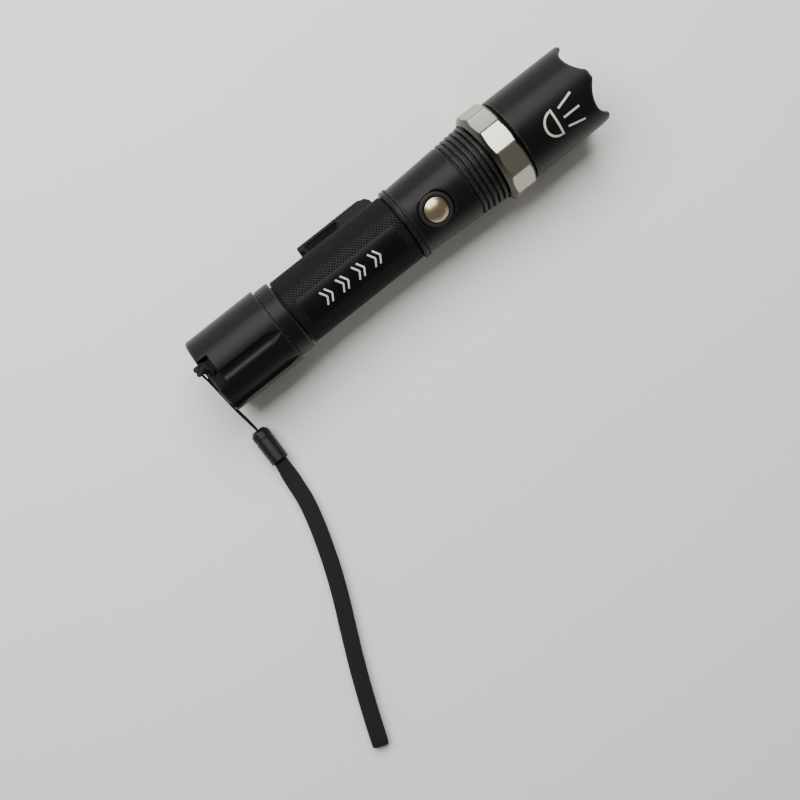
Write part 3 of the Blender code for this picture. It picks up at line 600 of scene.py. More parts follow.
def add_cord(paint):
    """A thin cord through the tail cap's eye, both ends gripped in the ferrule."""
    points = lay_out(smooth_route(CORD_ROUTE, 0.35))
    twist_pitch, strands, sides = 2.2, 3, 24
    walked = walked_along(points) / MM
    angle = np.linspace(0, 2 * math.pi, sides, endpoint=False)[None, :]
    lobes = strands * (angle - 2 * math.pi * walked[:, None] / twist_pitch)
    radius = CORD_R * MM * (0.93 + 0.09 * np.abs(np.cos(lobes / 2)))
    rings = tube_rings(points, radius[..., None], angle)
    faces = tube_faces(len(points), sides)
    cord = mesh_object("lanyard_thin_cord", rings.reshape(-1, 3), faces, paint["webbing"])
    finish_piece(cord, "tail_cap", "webbing_black", "lanyard_cord")


def add_hitch(paint):
    """The knot that the cord is drawn into beside the notch's wall, just off the end face."""
    turn = np.linspace(0, 2 * math.pi, 260)
    out = KNOT_R + KNOT_WAVE * np.cos(3 * turn)
    rise = 1.3 * KNOT_WAVE * np.sin(3 * turn)
    route = np.stack([out * np.cos(2 * turn), out * np.sin(2 * turn), rise], axis=1)
    points = lay_out(np.array(KNOT_CENTRE) + route @ np.array(Matrix.Rotation(math.radians(35), 3, "X")))
    sides = 16
    angle = np.linspace(0, 2 * math.pi, sides, endpoint=False)[None, :]
    tube = tube_rings(points, KNOT_CORD_R * MM, angle)
    faces = tube_faces(len(points), sides)
    hitch = mesh_object("lanyard_hitch", tube.reshape(-1, 3), faces, paint["webbing"])
    finish_piece(hitch, "tail_cap", "webbing_black")


def gathered(distance):
    """The strap's size at a distance in millimetres from the ferrule, as a share of its full size."""
    return STRAP_GATHER + (1 - STRAP_GATHER) * np.clip(distance / STRAP_GATHER_LENGTH, 0, 1)


def strap_line():
    """The strap's two layers as one line: out on the lower, round the far fold, and back on the upper."""
    middle = smooth_route(STRAP_ROUTE, 1.0)
    spread = STRAP_RISE / 2
    start, end = middle[0], middle[-1]
    ahead = (end - middle[-2]) / np.linalg.norm(end - middle[-2])
    lift = spread * gathered(np.linalg.norm(middle - start, axis=1))[:, None]
    lower = middle - lift * [0, 0, 1]
    upper = middle + lift * [0, 0, 1]
    turns = np.linspace(-math.pi / 2, math.pi / 2, 9)[1:-1]
    up = np.array([0, 0, 1])
    fold = [end + 1.35 * spread * math.cos(a) * ahead + spread * math.sin(a) * up for a in turns]
    return lay_out(np.vstack([lower, fold, upper[::-1]]))


def add_strap(paint):
    """Flat webbing with its woven ribs modelled: chevrons of yarn across the width, and rounded selvedges."""
    line = smooth_route(strap_line() / MM, 0.42) * MM
    tangents = directions(line)
    level = np.stack([-tangents[:, 1], tangents[:, 0], 0 * tangents[:, 0]], axis=1)
    flat = np.linalg.norm(level, axis=1) > 0.2
    sides = np.array(level)
    for i in range(1, len(sides)):
        if not flat[i] or sides[i] @ sides[i - 1] < 0:
            sides[i] = -sides[i] if flat[i] else sides[i - 1]
    sides /= np.linalg.norm(sides, axis=1)[:, None]
    up = np.cross(tangents, sides)
    up /= np.linalg.norm(up, axis=1)[:, None]
    walked = walked_along(line) / MM
    size = gathered(np.minimum(walked, walked[-1] - walked))[:, None]

    across = np.concatenate([np.linspace(-1, 1, 25), np.linspace(1, -1, 25)])[None, :]
    top = np.concatenate([np.ones(25), -np.ones(25)])[None, :]
    half_width = STRAP_WIDTH / 2
    body = STRAP_THICKNESS / 2 * np.clip(1 - np.abs(across) ** 6, 0, 1) ** 0.5
    rib_pitch, columns = 1.26, 6
    chevron = walked[:, None] / rib_pitch + 0.5 * np.abs((across * columns / 2) % 2 - 1)
    rib = 0.13 * np.abs(np.sin(math.pi * chevron)) * np.clip(1.15 - np.abs(across) ** 8, 0, 1)
    valley = 0.07 * np.abs(np.sin(math.pi * across * columns / 2)) + 0 * chevron
    height = top * (body * (0.86 + rib + valley))
    points = (
        line[:, None, :]
        + (across * size * half_width * MM)[..., None] * sides[:, None, :]
        + (height * size * MM)[..., None] * up[:, None, :]
    )
    count = across.shape[1]
    faces = grid_faces(len(line), count)
    faces += [tuple(range(count)), tuple(range((len(line) - 1) * count, len(line) * count))]
    strap = mesh_object("lanyard_webbing", points.reshape(-1, 3), faces, paint["webbing"])
    finish_piece(strap, "tail_cap", "webbing_black", "lanyard_strap")


def add_ferrule(paint):
    """A ribbed sleeve that grips both ends of the strap and of the cord."""
    half = FERRULE_LENGTH / 2
    groove_r = FERRULE_R - 0.2
    outline = [(-half + 1.5, 0), (-half + 1.5, 1.6), (-half, 1.9, 0.1), (-half, 2.4)]
    outline += [(-half + 1.3, FERRULE_R, 0.8), (-3.0, FERRULE_R, 0.1), (-2.8, groove_r, 0.1)]
    outline += [(-2.4, groove_r, 0.1), (-2.2, FERRULE_R, 0.1)]
    outline += [(half, FERRULE_R - 0.1, 0.3), (half, 2.95, 0.1), (half - 1.5, 2.95), (half - 1.5, 0)]
    x, r, edge = rounded(outline, 0.1, closed=False)
    sides = 96
    angle = np.linspace(0, 2 * math.pi, sides, endpoint=False)[None, :]
    x, r = x[:, None], r[:, None]
    points = np.stack([x + 0 * angle, r * np.sin(angle), r * np.cos(angle)], axis=-1)
    faces = grid_faces(len(x), sides)
    edges = np.repeat(edge, sides)
    sleeve = mesh_object("lanyard_sleeve", points.reshape(-1, 3) * MM, faces, paint["ferrule"], edges)
    x, y = FERRULE_CENTRE
    turn = Matrix.Rotation(math.radians(-90 - FERRULE_YAW), 4, "Z")
    sleeve.matrix_world = Matrix.Translation((TAIL_X + x * MM, y * MM, FERRULE_R * MM)) @ turn
    finish_piece(sleeve, "tail_cap", "ferrule_black", "lanyard_ferrule")


# ---------------------------------------------------------------- tail cap


def turned_from(clock, degrees):
    """Radians from a clock angle given in degrees, between -pi and pi."""
    return (clock - math.radians(degrees) + math.pi) % (2 * math.pi) - math.pi


def cap_radius(x, clock):
    """The outside of the tail cap's body: its round end edge, its flutes and the lanyard notch."""
    drop = np.clip(1.0 - x, 0, 1)
    radius = CAP_R - (1 - np.sqrt(1 - drop**2)) + 0 * clock
    cutter = np.interp(x, [0, FLUTE_TAPER_START, FLUTE_TIP], [FLUTE_R, FLUTE_R, FLUTE_R - FLUTE_DEPTH])
    centre = CAP_R + FLUTE_R - FLUTE_DEPTH
    for flute in FLUTE_CLOCKS:
        turn = turned_from(clock, flute)
        inside = cutter**2 - (centre * np.sin(turn)) ** 2
        reach = centre * np.cos(turn) - np.sqrt(np.clip(inside, 0, None))
        radius = np.where((inside > 0) & (np.abs(turn) < 1), np.minimum(radius, reach), radius)
    turn = turned_from(clock, NOTCH_CLOCK)
    wall = math.atan2(NOTCH_HALF_WIDTH, NOTCH_FLOOR_R + 1.4)
    opened = np.where(np.abs(turn) < wall, NOTCH_FLOOR_R / np.cos(np.clip(turn, -1, 1)), CAP_R)
    ease = np.clip((NOTCH_DEPTH + 0.1 - x) / 0.2, 0, 1)
    ease = ease * ease * (3 - 2 * ease)
    cut = np.minimum(radius, opened)
    return radius + (cut - radius) * ease


def add_tail_cap(paint):
    clock = np.linspace(0, 2 * math.pi, 720, endpoint=False)[None, :]
    fine = [0.02, 0.08, 0.18, 0.32, 0.5, 0.75, 1.0]
    near_notch = list(np.arange(NOTCH_DEPTH - 0.2, NOTCH_DEPTH + 0.21, 0.05))
    body = sorted(set(np.round([*fine, *near_notch, *np.arange(1.3, CAP_BODY_END - 0.35, 0.3)], 3)))
    rows = [(0 * clock, share * cap_radius(0.0, clock), 0.0) for share in (0.0, 0.3, 0.6, 0.8, 0.92, 1.0)]
    rows += [(x + 0 * clock, cap_radius(x, clock), 1.0 if x < 1.0 else 0.0) for x in body]
    lip = 0.22
    last = cap_radius(CAP_BODY_END - lip, clock)
    for angle in np.linspace(0, math.pi / 2, 4):
        x = CAP_BODY_END - lip + lip * math.sin(angle)
        rows.append((x + 0 * clock, last - lip * (1 - math.cos(angle)), 1.0))
    inner = THREAD_BORE_R
    outline = [(CAP_BODY_END, 13.6, 0), (CAP_BODY_END, 12.9), (28.9, 12.9), (28.9, CAP_COLLAR_R)]
    outline += [(33.7, CAP_COLLAR_R), (CAP_END, 13.0, 0.15), (CAP_END, inner), (10.0, inner), (10.0, 9.0)]
    outline += [(7.0, 9.0), (7.0, 0)]
    rows += level_rows(outline, 0.16, clock)
    shell = lofted("tail_cap_shell", rows, clock, paint["black"], wrap_rows=False)
    cut_eye(shell)
    finish_piece(shell, "tail_cap", "black_anodised", "tail_cap")


def cut_eye(shell):
    """The slanting hole that the cord is threaded through, from the notch floor to the end face."""
    bm = bmesh.new()
    bmesh.ops.create_cone(
        bm, cap_ends=True, segments=32, radius1=EYE_R * MM, radius2=EYE_R * MM, depth=9 * MM,
        matrix=Matrix.Rotation(math.radians(225), 4, "Y") @ Matrix.Translation((0, 0, 4.5 * MM)),
    )  # fmt: skip
    mesh = bpy.data.meshes.new("eye_drill")
    bm.to_mesh(mesh)
    bm.free()
    drill = bpy.data.objects.new("eye_drill", mesh)
    bpy.context.scene.collection.objects.link(drill)
    turn = Matrix.Rotation(math.radians(NOTCH_CLOCK), 4, "X")
    start = Matrix.Translation(Vector(EYE_START) * MM)
    drill.matrix_world = Matrix.Translation((TAIL_X, 0, AXIS_Z)) @ turn @ start
    apply_boolean(shell, drill)


def apply_boolean(obj, cutter):
    modifier = obj.modifiers.new("cut", "BOOLEAN")
    modifier.solver = "EXACT"
    modifier.object = cutter
    bpy.context.view_layer.update()
    graph = bpy.context.evaluated_depsgraph_get()
    mesh = bpy.data.meshes.new_from_object(obj.evaluated_get(graph))
    obj.modifiers.clear()
    obj.data = mesh
    mesh.set_sharp_from_angle(angle=SMOOTH_ANGLE)
    bpy.data.objects.remove(cutter)


# ---------------------------------------------------------------- battery tube, clip


def knurl_height(x, clock):
    """Diamond points, 0 in the cut grooves and 1 at the tops."""
    across = clock * KNURL_STARTS / (2 * math.pi)
    along_axis = x / KNURL_PITCH
    first = 1 - np.abs(2 * ((across + along_axis) % 1) - 1)
    second = 1 - np.abs(2 * ((across - along_axis) % 1) - 1)
    return np.minimum(first, second)


def panel_mask(x, clock):
    """1 on the smooth panel, 0 on the knurl, with a short step between."""
    turn = turned_from(clock, PANEL_CLOCK)
    inside = (math.radians(PANEL_HALF_ANGLE) - np.abs(turn)) * TUBE_R
    inside = np.minimum(inside, np.minimum(x - PANEL_START, PANEL_END - x))
    return np.clip(inside / 0.25, 0, 1)


def add_tube(paint):
    columns = KNURL_STARTS * KNURL_SAMPLES
    clock = np.linspace(0, 2 * math.pi, columns, endpoint=False)[None, :]
    step = KNURL_PITCH / KNURL_SAMPLES
    first, last = TUBE_SHOULDER + 0.45, TUBE_FRONT - 0.45
    rows = np.arange(math.ceil(first / step), math.floor(last / step) + 1)[:, None] * step
    mask = panel_mask(rows, clock)
    tops = knurl_height(rows, clock)
    radius = TUBE_R - 0.05 + KNURL_HEIGHT * tops * (1 - mask) + 0.10 * mask
    x = rows + 0 * clock
    edge = tops**2 * (1 - mask)

    def plain(points):
        found_x, found_r, marks = rounded(points, 0.15, closed=False)
        return found_x[:, None] + 0 * clock, found_r[:, None] + 0 * clock, marks[:, None] * 0.5 + 0 * clock

    outline = [(TUBE_START, TUBE_BORE_R), (TUBE_START, THREAD_R), *thread(14.2, 29.2, 1.5, THREAD_R)]
    outline += [(30.6, THREAD_R), (30.6, THREAD_R - 0.7), (31.8, THREAD_R - 0.7), (31.8, THREAD_R)]
    outline += [(TUBE_SHOULDER, THREAD_R), (TUBE_SHOULDER, TUBE_R - 0.2), (first - 0.05, TUBE_R - 0.05)]
    rear = plain(outline)
    outline = [(last + 0.05, TUBE_R - 0.05), (TUBE_FRONT, TUBE_R - 0.3), (TUBE_FRONT, THREAD_R)]
    outline += [(84.9, THREAD_R), (84.9, TUBE_BORE_R), (84.8, TUBE_BORE_R)]
    front = plain(outline)
    xs, rs, edges = (np.vstack([a, b, c]) for a, b, c in zip(rear, (x, radius, edge), front))
    points = world_points(xs, rs, np.broadcast_to(clock, xs.shape))
    faces = grid_faces(len(xs), columns, wrap_rows=True)
    tube = mesh_object("knurled_tube", points.reshape(-1, 3), faces, paint["knurl"], edges.ravel())
    tube.data.materials.append(paint["panel"])
    paint_panel(tube)
    finish_piece(tube, "barrel", "knurled_black", "battery_tube")
    oring = turned_ring("tube_seal", 31.2, THREAD_R - 0.08, paint["rubber"])
    finish_piece(oring, "barrel", "rubber_seals", "tube_oring")


def thread(start, end, pitch, radius, depth=0.35):
    """The crests and roots of a thread, as rings along the axis."""
    found = []
    for i in range(int((end - start) / pitch)):
        x = start + i * pitch
        found += [(x, radius, 0), (x + 0.35 * pitch, radius - depth, 0), (x + 0.5 * pitch, radius - depth, 0)]
        found += [(x + 0.85 * pitch, radius, 0)]
    return found


def paint_panel(tube):
    """The smooth panel's faces take the panel's material."""
    mesh = tube.data
    centres = np.empty(len(mesh.polygons) * 3)
    mesh.polygons.foreach_get("center", centres)
    centres = centres.reshape(-1, 3)
    x = (centres[:, 0] - TAIL_X) / MM
    out = np.hypot(centres[:, 1], centres[:, 2] - AXIS_Z) / MM
    clock = np.arctan2(-centres[:, 1], centres[:, 2] - AXIS_Z)
    inside = (panel_mask(x, clock) > 0.5) & (out > TUBE_R - 0.5)
    mesh.polygons.foreach_set("material_index", inside.astype(np.int32))


def turned_ring(name, x, major_r, material, wire_r=ORING_WIRE_R):
    angles = np.linspace(0, 2 * math.pi, 16, endpoint=False)
    outline = [(x + wire_r * math.cos(a), major_r + wire_r * math.sin(a), 0) for a in angles]
    return turned(name, outline, material, 128)


def add_clip(paint):
    """A stamped bar screwed to the tube at its head end, free and turned in at its tail end."""
    bar_inner = CLIP_OUTER_R - CLIP_THICKNESS
    outline = [(CLIP_START, CLIP_OUTER_R, 0.3), (CLIP_SLOPE, CLIP_OUTER_R, 2.5)]
    outline += [(CLIP_SLOPE + 2.9, CLIP_OUTER_R - 1.3, 2.0)]
    outline += [(CLIP_END, CLIP_OUTER_R - 2.7, 0.5), (CLIP_END, 12.1, 0.1)]
    outline += [(CLIP_PAD, 12.1, 0.1), (CLIP_PAD, 13.4, 0.5), (CLIP_PAD - 1.2, bar_inner, 0.6)]
    outline += [(CLIP_START + 2.6, bar_inner, 0.5), (CLIP_START + 1.9, bar_inner - 0.8, 0.3)]
    outline += [(CLIP_START, bar_inner - 0.8, 0.3)]
    x, h, _ = rounded(outline, 0.2, 4)
    bevel = 0.3
    inset = [(-CLIP_HALF_WIDTH, bevel + 0.05), (-CLIP_HALF_WIDTH, bevel), (-CLIP_HALF_WIDTH + bevel, 0)]
    inset.append((-CLIP_HALF_WIDTH + bevel + 0.05, 0))
    sides = inset + [(-y, amount) for y, amount in reversed(inset)]
    centre_x, centre_h = (CLIP_START + CLIP_END) / 2, 15.0
    foot_h, easing = 14.0, 8  # the bevel stops below the one, and fades towards the middle over the other
    turn = math.radians(CLIP_CLOCK)
    rings = []
    for y, amount in sides:
        grow_x = x - np.sign(x - centre_x) * amount * np.clip(np.abs(x - centre_x) / easing, 0, 1)
        grow_h = h - np.sign(h - centre_h) * amount
        grow_h = np.where(h < foot_h, h, grow_h)
        across = y * math.cos(turn) - grow_h * math.sin(turn)
        up = y * math.sin(turn) + grow_h * math.cos(turn)
        rings.append(np.stack([grow_x * MM + TAIL_X, across * MM, up * MM + AXIS_Z], axis=-1))
    points = np.vstack(rings)
    count = len(x)
    faces = grid_faces(len(sides), count)
    faces += [tuple(range(count)), tuple(range((len(sides) - 1) * count, len(sides) * count))]
    # the outer top bevels marked here take the clip's painted highlight line
    lighter_edges = (h > CLIP_OUTER_R - 0.2) & (x < CLIP_SLOPE)
    marks = np.outer([0, 1, 1, 0, 0, 1, 1, 0], lighter_edges).ravel()
    clip = mesh_object("belt_clip", points, faces, paint["clip"], marks)
    finish_piece(clip, "barrel", "black_anodised", "pocket_clip")
    for i, place in enumerate(CLIP_SCREWS):
        top = CLIP_OUTER_R + 0.25
        outline = [(13.5, 0), (13.5, 1.45), (top - 0.3, 1.45), (top, 1.1), (top, 0.62)]
        outline += [(top - 0.5, 0.55), (top - 0.5, 0)]
        name = f"clip_screw_head_{i + 1}"
        screw = turned_on_side(name, outline, paint["screw"], (place, CLIP_CLOCK), 48, 0.08, closed=False)
        finish_piece(screw, "barrel", "screw_steel", f"clip_screw_{i + 1}")


# ---------------------------------------------------------------- switch housing and button


def housing_outline_radius(x):
    """The housing's cone ahead of its collar."""
    share = (x - COLLAR_END) / (HOUSING_END - COLLAR_END)
    return HOUSING_R + (HOUSING_FRONT_R - HOUSING_R) * share


def add_housing(paint):
    """The housing with a round spot-faced pocket: a ring grid with a polar patch set into it."""
    half, steps = 7.5, 30
    grid_t = np.linspace(-half, half, steps + 1)
    rest = 150
    patch_rows = np.linspace(BUTTON_X - half, BUTTON_X + half, steps + 1)

    outline = [(HOUSING_START, THREAD_BORE_R), (HOUSING_START, HOUSING_R, 0.1)]
    for ridge in (82.35, 83.75):
        outline += [(ridge, HOUSING_R, 0.1), (ridge + 0.25, COLLAR_R), (ridge + 0.85, COLLAR_R)]
        outline.append((ridge + 1.1, HOUSING_R, 0.1))
    outline += [(COLLAR_END + 0.2, HOUSING_R, 0)]
    rear = rounded(outline, 0.12, closed=False)
    outline = [(101.2, housing_outline_radius(101.2)), (HOUSING_END, HOUSING_FRONT_R, 0.3)]
    outline += [(HOUSING_END, THREAD_BORE_R), (99.2, THREAD_BORE_R), (99.2, 5.5), (86.6, 5.5)]
    outline += [(86.6, THREAD_BORE_R), (86.5, THREAD_BORE_R)]
    front = rounded(outline, 0.12, closed=False)
    middle = np.array([patch_rows, housing_outline_radius(patch_rows), 0 * patch_rows])
    x, r, edge = np.hstack([rear, middle, front])

    reference = np.where((x > COLLAR_END), housing_outline_radius(x), HOUSING_R)
    start = np.arcsin(half / reference)
    others = [start + (2 * math.pi - 2 * start) * k / rest for k in range(1, rest)]
    columns = [np.arcsin(t / reference) for t in grid_t] + others
    clock = np.stack(columns, axis=1) + math.radians(BUTTON_CLOCK)
    points = world_points(x[:, None], r[:, None], clock).reshape(-1, 3)
    count = clock.shape[1]
    first = rear.shape[1]
    faces = []
    for face in grid_faces(len(x), count, wrap_rows=True):
        row, column = divmod(face[0], count)
        if not (first <= row < first + steps and column < steps):
            faces.append(face)
    patch_points, patch_faces, patch_edge = pocket_patch(half, steps, len(points))
    points = np.vstack([points, patch_points])
    edge = np.concatenate([np.repeat(edge, count), patch_edge])
    housing = mesh_object("switch_body", points, faces + patch_faces, paint["black"], edge)
    finish_piece(housing, "barrel", "black_anodised", "switch_housing")


def pocket_patch(half, steps, offset):
    """Rings from the patch's square edge in to the spot-face, the seal's counterbore and the bore."""
    side = np.linspace(-half, half, steps + 1)[:-1]
    square = np.concatenate([
        np.stack([side, 0 * side - half], 1), np.stack([0 * side + half, side], 1),
        np.stack([-side, 0 * side + half], 1), np.stack([0 * side - half, -side], 1),
    ])  # fmt: skip
    angle = np.arctan2(square[:, 1], square[:, 0])
    circle = np.stack([np.cos(angle), np.sin(angle)], 1)

    def surface(uv):
        radius = housing_outline_radius(BUTTON_X + uv[:, 0])
        return np.sqrt(radius**2 - uv[:, 1] ** 2)

    rings = []
    for share in (1.0, 0.75, 0.5, 0.25, 0.0):
        uv = circle * (SPOT_FACE_R + 0.12) * (1 - share) + square * share
        rings.append((uv, surface(uv), 0.0))
    for grow, sink, mark in ((0.06, 0.02, 1.0), (0.02, 0.06, 1.0), (0.0, 0.12, 1.0)):
        uv = circle * (SPOT_FACE_R + grow)
        top = surface(uv)
        rings.append((uv, np.where(top > SPOT_FACE_HEIGHT, top - sink, top), mark))
    for radius in (SPOT_FACE_R, 6.5, 6.4, 6.3, 6.2):
        uv = circle * radius
        rings.append((uv, np.minimum(surface(uv), SPOT_FACE_HEIGHT), 0.0))
    floor = 8.4  # below the plunger at the end of its travel
    steps_in = [(6.15, 11.4), (6.1, 11.1), (4.75, 11.1), (4.7, 11.0)]
    steps_in += [(4.7, floor), (2.0, floor), (0.0, floor)]
    for radius, height in steps_in:
        uv = circle * radius
        rings.append((uv, 0 * angle + height, 0.0))
    turn = math.radians(BUTTON_CLOCK)
    points = []
    for uv, height, _ in rings:
        reach = np.hypot(height, uv[:, 1])
        clock = np.arctan2(uv[:, 1], height) + turn
        points.append(world_points(BUTTON_X + uv[:, 0], reach, clock))
    faces = [tuple(offset + k for k in face) for face in grid_faces(len(rings), len(square))]
    edge = np.repeat([mark for *_, mark in rings], len(square))
    return np.vstack(points), faces, edge


def add_button(paint):
    place = (BUTTON_X, BUTTON_CLOCK)
    rim, top = 12.75, BUTTON_TOP
    sphere = ((top - rim) ** 2 + (BUTTON_R - 0.1) ** 2) / (2 * (top - rim))
    full = math.asin((BUTTON_R - 0.1) / sphere)
    outline = [(11.6, 0), (11.6, BUTTON_R, 0.1), (rim - 0.05, BUTTON_R, 0.3)]
    for angle in np.linspace(full, 0, 24):
        outline.append((top - sphere * (1 - math.cos(angle)), sphere * math.sin(angle), 0))
    button = turned_on_side("side_button", outline, paint["button"], place, 128, 0.1, closed=False)
    finish_piece(button, "button", "button_steel", "switch_button")
    outline = [(11.4, 4.55), (11.4, 5.95), (12.35, 5.95, 0.25), (12.6, 5.3, 0.3), (12.6, 4.55, 0.15)]
    gasket = turned_on_side("button_seal", outline, paint["rubber"], place, 96, 0.1)
    finish_piece(gasket, "barrel", "rubber_seals", "switch_gasket")


# ---------------------------------------------------------------- neck, head, ring, lens


def add_neck(paint):
    outline = [(NECK_START, 8.0), (NECK_START, THREAD_R), (HOUSING_END + 0.3, THREAD_R, 0.05)]
    outline += [(HOUSING_END + 0.3, FIN_ROOT_R, 0.1)]
    for i in range(FINS):
        start = FIRST_FIN + i * FIN_PITCH
        radius = FIN_R + (LAST_FIN_R - FIN_R) * i / (FINS - 1)
        outline += [(start, FIN_ROOT_R, 0.12), (start, radius, 0.5), (start + FIN_WIDTH, radius, 0.5)]
        outline += [(start + FIN_WIDTH, FIN_ROOT_R if i < FINS - 1 else SLIDE_R, 0.12)]
    for groove in HEAD_ORINGS:
        floor = SLIDE_R - 0.7
        outline += [(groove, SLIDE_R, 0.06), (groove, floor, 0.06), (groove + ORING_GROOVE, floor, 0.06)]
        outline += [(groove + ORING_GROOVE, SLIDE_R, 0.06)]
    outline += [(SLIDE_END, SLIDE_R), (SLIDE_END, THREAD_R), (122.2, THREAD_R), (122.2, 8.0)]
    neck = turned("finned_neck_body", outline, paint["black"], fillet=0.2)
    finish_piece(neck, "barrel", "black_anodised", "finned_neck")
    for i, (node, groove) in enumerate(zip(("head_oring_rear", "head_oring_front"), HEAD_ORINGS)):
        ring = turned_ring(f"head_seal_{i + 1}", groove + ORING_GROOVE / 2, SLIDE_R - 0.15, paint["rubber"])
        finish_piece(ring, "barrel", "rubber_seals", node)


def rim_position(clock):
    """Where the scalloped rim ends along the axis at each clock angle, its corners eased off."""
    shifts = np.radians(np.linspace(-3.6, 3.6, 13))
    weights = np.cos(shifts / shifts[-1] * math.pi / 2) + 0.02
    return sum(weight * sharp_rim(clock + shift) for weight, shift in zip(weights, shifts)) / sum(weights)


def sharp_rim(clock):
    pitch = 2 * math.pi / SCALLOPS
    turn = (clock - math.radians(SCALLOP_TIP_CLOCK)) % pitch - pitch / 2
    radius = (SCALLOP_HALF_WIDTH**2 + SCALLOP_DEPTH**2) / (2 * SCALLOP_DEPTH)
    offset = HEAD_R * np.sin(turn)
    cut = radius - SCALLOP_DEPTH - np.sqrt(np.clip(radius**2 - offset**2, 0, None))
    return LENGTH + np.where(np.abs(offset) < SCALLOP_HALF_WIDTH, np.minimum(cut, 0.0), 0.0)


def head_radius(x):
    """The head's slight taper towards its rim."""
    return HEAD_R + (HEAD_FRONT_R - HEAD_R) * (x - 129.0) / (LENGTH - 129.0)


def add_head(paint):
    pitch = 2 * math.pi / SCALLOPS
    corner = math.asin(SCALLOP_HALF_WIDTH / HEAD_R)
    stretches = ((-pitch / 2, -corner, 6), (-corner, corner, 64), (corner, pitch / 2, 6))
    samples = np.concatenate([np.linspace(*stretch)[:-1] for stretch in stretches])
    middle = math.radians(SCALLOP_TIP_CLOCK) + pitch / 2
    clock = np.concatenate([samples + middle + k * pitch for k in range(SCALLOPS)])[None, :]
    rim = rim_position(clock)
    rounding = 0.35
    outline = [(140.4, HEAD_BORE_R), (117.8, HEAD_BORE_R), (117.8, SHANK_R), (128.6, SHANK_R, 0.05)]
    outline += [(128.6, HEAD_R, 0.45), (140.0, head_radius(140.0), 0)]
    rows = level_rows(outline, 0.15, clock)
    for share in (0.3, 0.6, 0.85, 0.95):
        at = 140.0 + (rim - rounding - 140.0) * share
        rows.append((at, head_radius(at), 0.0))
    for angle in np.linspace(0, math.pi / 2, 5):
        at = rim - rounding + rounding * math.sin(angle)
        rows.append((at, head_radius(at) - rounding * (1 - math.cos(angle)), 1.0))
    inner_round = 0.2
    for angle in np.linspace(0, math.pi / 2, 4):
        at = rim - inner_round * (1 - math.cos(angle))
        rows.append((at, MOUTH_R + inner_round - inner_round * math.sin(angle) + 0 * clock, 1.0))
    outline = [(154.5, MOUTH_R, 0), (149.4, MOUTH_R), (149.4, 13.6), (142.9, 13.6), (142.9, 11.5)]
    outline.append((140.4, 11.5))
    rows += level_rows(outline, 0.12, clock)
    head = lofted("head_shell", rows, clock, paint["head"], wrap_rows=True)
    finish_piece(head, "head", "black_anodised", "head_sleeve")


def add_ring(paint):
    """A turned ring with conical ends and ground flats, its corners slightly broken."""
    pitch = 2 * math.pi / RING_FLATS
    shares = np.concatenate([[-0.5, -0.488, -0.47], np.linspace(-0.44, 0.44, 13), [0.47, 0.488]])
    clock = np.concatenate([(shares + k) * pitch for k in range(RING_FLATS)])[None, :]
    local = (clock + pitch / 2) % pitch - pitch / 2
    flat = np.minimum(RING_FLAT_R / np.cos(local), RING_CORNER_R - 0.12)
    slope = (RING_CORNER_R - RING_END_R) / RING_CHAMFER
    reach = (flat - RING_END_R) / slope
    soft = 0.10
    lip = 0.25
    half_rows = [
        (0.6 + 0 * clock, RING_BORE_R + 0 * clock, 0.0),
        (0.15 + 0 * clock, RING_BORE_R + 0 * clock, 1.0),
        (0.0 * clock, RING_BORE_R + 0.15 + 0 * clock, 1.0),
        (0.0 * clock, RING_END_R - lip + 0 * clock, 0.0),
        (0.02 + 0.0 * clock, RING_END_R - 0.1 + 0 * clock, 1.0),
        (0.1 + 0.0 * clock, RING_END_R + 0.06 + 0 * clock, 1.0),
        (reach - soft, flat - slope * soft, 0.0),
        (reach - 0.3 * soft, flat - 0.45 * slope * soft, 1.0),
        (reach + 0.4 * soft, flat - 0.06, 1.0),
        (reach + 1.6 * soft, flat, 0.0),
        (reach + 3.0 * soft, flat, 0.0),
    ]
    rows = [(RING_START + x, r, mark) for x, r, mark in half_rows]
    rows += [(RING_END - x, r, mark) for x, r, mark in reversed(half_rows)]
    ring = lofted("faceted_ring", rows, clock, paint["ring"], wrap_rows=True)
    ring.data.set_sharp_from_angle(angle=math.radians(18))
    # the conical ends take the darker copy, which is painted shade where they would reflect the bright floor
    ring.data.materials.append(paint["shaded_chamfers"])
    normals = np.empty(len(ring.data.polygons) * 3)
    ring.data.polygons.foreach_get("normal", normals)
    conical = np.abs(normals[::3]) > 0.3
    ring.data.polygons.foreach_set("material_index", conical.astype(np.int32))
    finish_piece(ring, "head", "polished_ring", "grip_ring")


def add_lens(paint):
    flange_front, dome_r = LENS_BACK + 2.2, 12.0
    rise = LENS_FRONT - flange_front
    sphere = (dome_r**2 + rise**2) / (2 * rise)
    outline = [(LENS_BACK, 0), (LENS_BACK, 13.2), (flange_front, 13.2), (flange_front, dome_r, 0.1)]
    for angle in np.linspace(math.asin(dome_r / sphere), 0, 32)[1:]:
        outline.append((LENS_FRONT - sphere * (1 - math.cos(angle)), sphere * math.sin(angle), 0))
    lens = turned("aspheric_lens", outline, paint["lens"], 128, 0.12, closed=False)
    finish_piece(lens, "head", "lens_clear", "lens")
    seal = turned_ring("lens_seal", flange_front + 0.3 + ORING_WIRE_R, 12.75, paint["rubber"])
    finish_piece(seal, "head", "rubber_seals", "lens_oring")
    outline = [(146.8, 12.2), (146.8, 13.4), (149.2, 13.4), (149.2, 12.6), (148.2, 12.2)]
    keeper = turned("lens_keeper", outline, paint["black"], 128, 0.12)
    finish_piece(keeper, "head", "black_anodised", "lens_retainer")


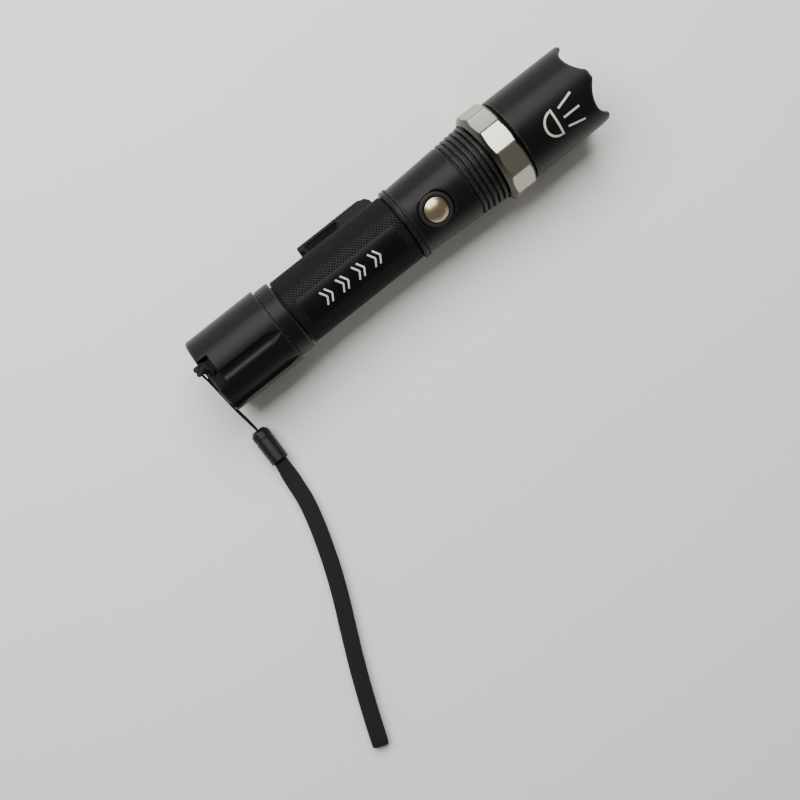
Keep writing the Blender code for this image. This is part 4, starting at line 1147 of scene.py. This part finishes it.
def paint_inside(paint):
    """The pieces that the casing hides keep their CAD shape and take their own finish."""
    finishes = {
        "brass": ["tail_contact_plate", "tail_retaining_ring", "switch_plunger", "led_pill"],
        "spring": ["tail_spring", "contact_spring", "battery_positive_cap"],
        "cell": ["battery_cell"],
        "white": ["battery_insulator", "led_board", "led_gasket"],
        "board": ["driver_board", "switch_board", "contact_board"],
        "wire": ["wire_positive", "wire_negative"],
        "ferrule": ["micro_switch"],
        "phosphor": ["led_emitter"],
    }
    for finish, nodes in finishes.items():
        for node in nodes:
            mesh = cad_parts[node].data
            mesh.materials.clear()
            mesh.materials.append(paint[finish])


# ---------------------------------------------------------------- printed marks


def printed(name, shapes, place, radius, material, body):
    """Flat shapes in (along, across) millimetres, laid on the round surface just proud of it."""
    centre_x, clock = place
    points, faces = [], []
    for outline in shapes:
        base, count = len(points), len(outline)
        for thickness in (0.04, -0.08):
            x = centre_x + outline[:, 0]
            at_radius = radius(x) + thickness
            points += list(world_points(x, at_radius, math.radians(clock) + outline[:, 1] / at_radius))
        low = base + count
        for i in range(count // 2 - 1):
            far = count - 1 - i
            faces.append((base + i, base + i + 1, base + far - 1, base + far))
            faces.append((low + i, low + far, low + far - 1, low + i + 1))
        for i in range(count):
            after = (i + 1) % count
            faces.append((base + i, low + i, low + after, base + after))
    mark = mesh_object(name, points, faces, material)
    finish_piece(mark, body, "white_board")


def stroke(points, width):
    """A drawn line of even width, as an outline whose two sides run opposite ways."""
    corners = np.array(points, float)
    reach = walked_along(corners)
    at = np.linspace(0, reach[-1], max(3, round(reach[-1] / 0.3)))
    line = np.stack([np.interp(at, reach, corners[:, k]) for k in range(2)], axis=1)
    ahead = directions(line)
    side = np.stack([-ahead[:, 1], ahead[:, 0]], 1) * width / 2
    return np.vstack([line + side, (line - side)[::-1]])


def arc(centre, radius, start, end, steps=16):
    angles = np.radians(np.linspace(start, end, steps))
    return [(centre[0] + radius * math.cos(a), centre[1] + radius * math.sin(a)) for a in angles]


def panel_radius(x):
    """The panel's surface, the same all along the tube."""
    return TUBE_R + 0.05 + 0 * x


def add_marks(paint):
    """A plain beam sign on the head, and a row of four double chevrons on the tube's panel."""
    back, lamp_r, line = -2.4, 4.6, 0.75
    face = [(back, -5.0), (back, 0), (back, 5.0)]
    sign = [stroke(arc((back, 0), lamp_r, 97, 263, 32), line), stroke(face, line)]
    for across in RAY_PLACES:
        sign.append(stroke([(0.2, across), (3.4, 1.25 * across), (6.6, 1.5 * across)], line))
    printed("head_sign", sign, HEAD_SIGN_PLACE, head_radius, paint["mark"], "head")
    count, pitch, reach, half_height, thin_line = 4, 6.7, 1.5, 2.6, 0.6
    arrows = []
    for i in range(count):
        for lead in (-1.1, 0.9):
            tip = (i - (count - 1) / 2) * pitch + lead
            arm = [(tip - reach, -half_height), (tip, 0), (tip - reach, half_height)]
            arrows += [stroke(arm[:2], thin_line), stroke(arm[1:], thin_line)]
    printed("panel_sign", arrows, PANEL_SIGN_PLACE, panel_radius, paint["mark"], "barrel")


def main():
    add_camera()
    paint = make_materials()
    add_ferrule(paint)
    add_cord(paint)
    add_hitch(paint)
    add_strap(paint)
    add_studio()
    add_tail_cap(paint)
    add_tube(paint)
    add_clip(paint)
    add_housing(paint)
    add_button(paint)
    add_neck(paint)
    add_head(paint)
    add_ring(paint)
    add_lens(paint)
    paint_inside(paint)
    add_marks(paint)


main()
bpy.context.view_layer.update()
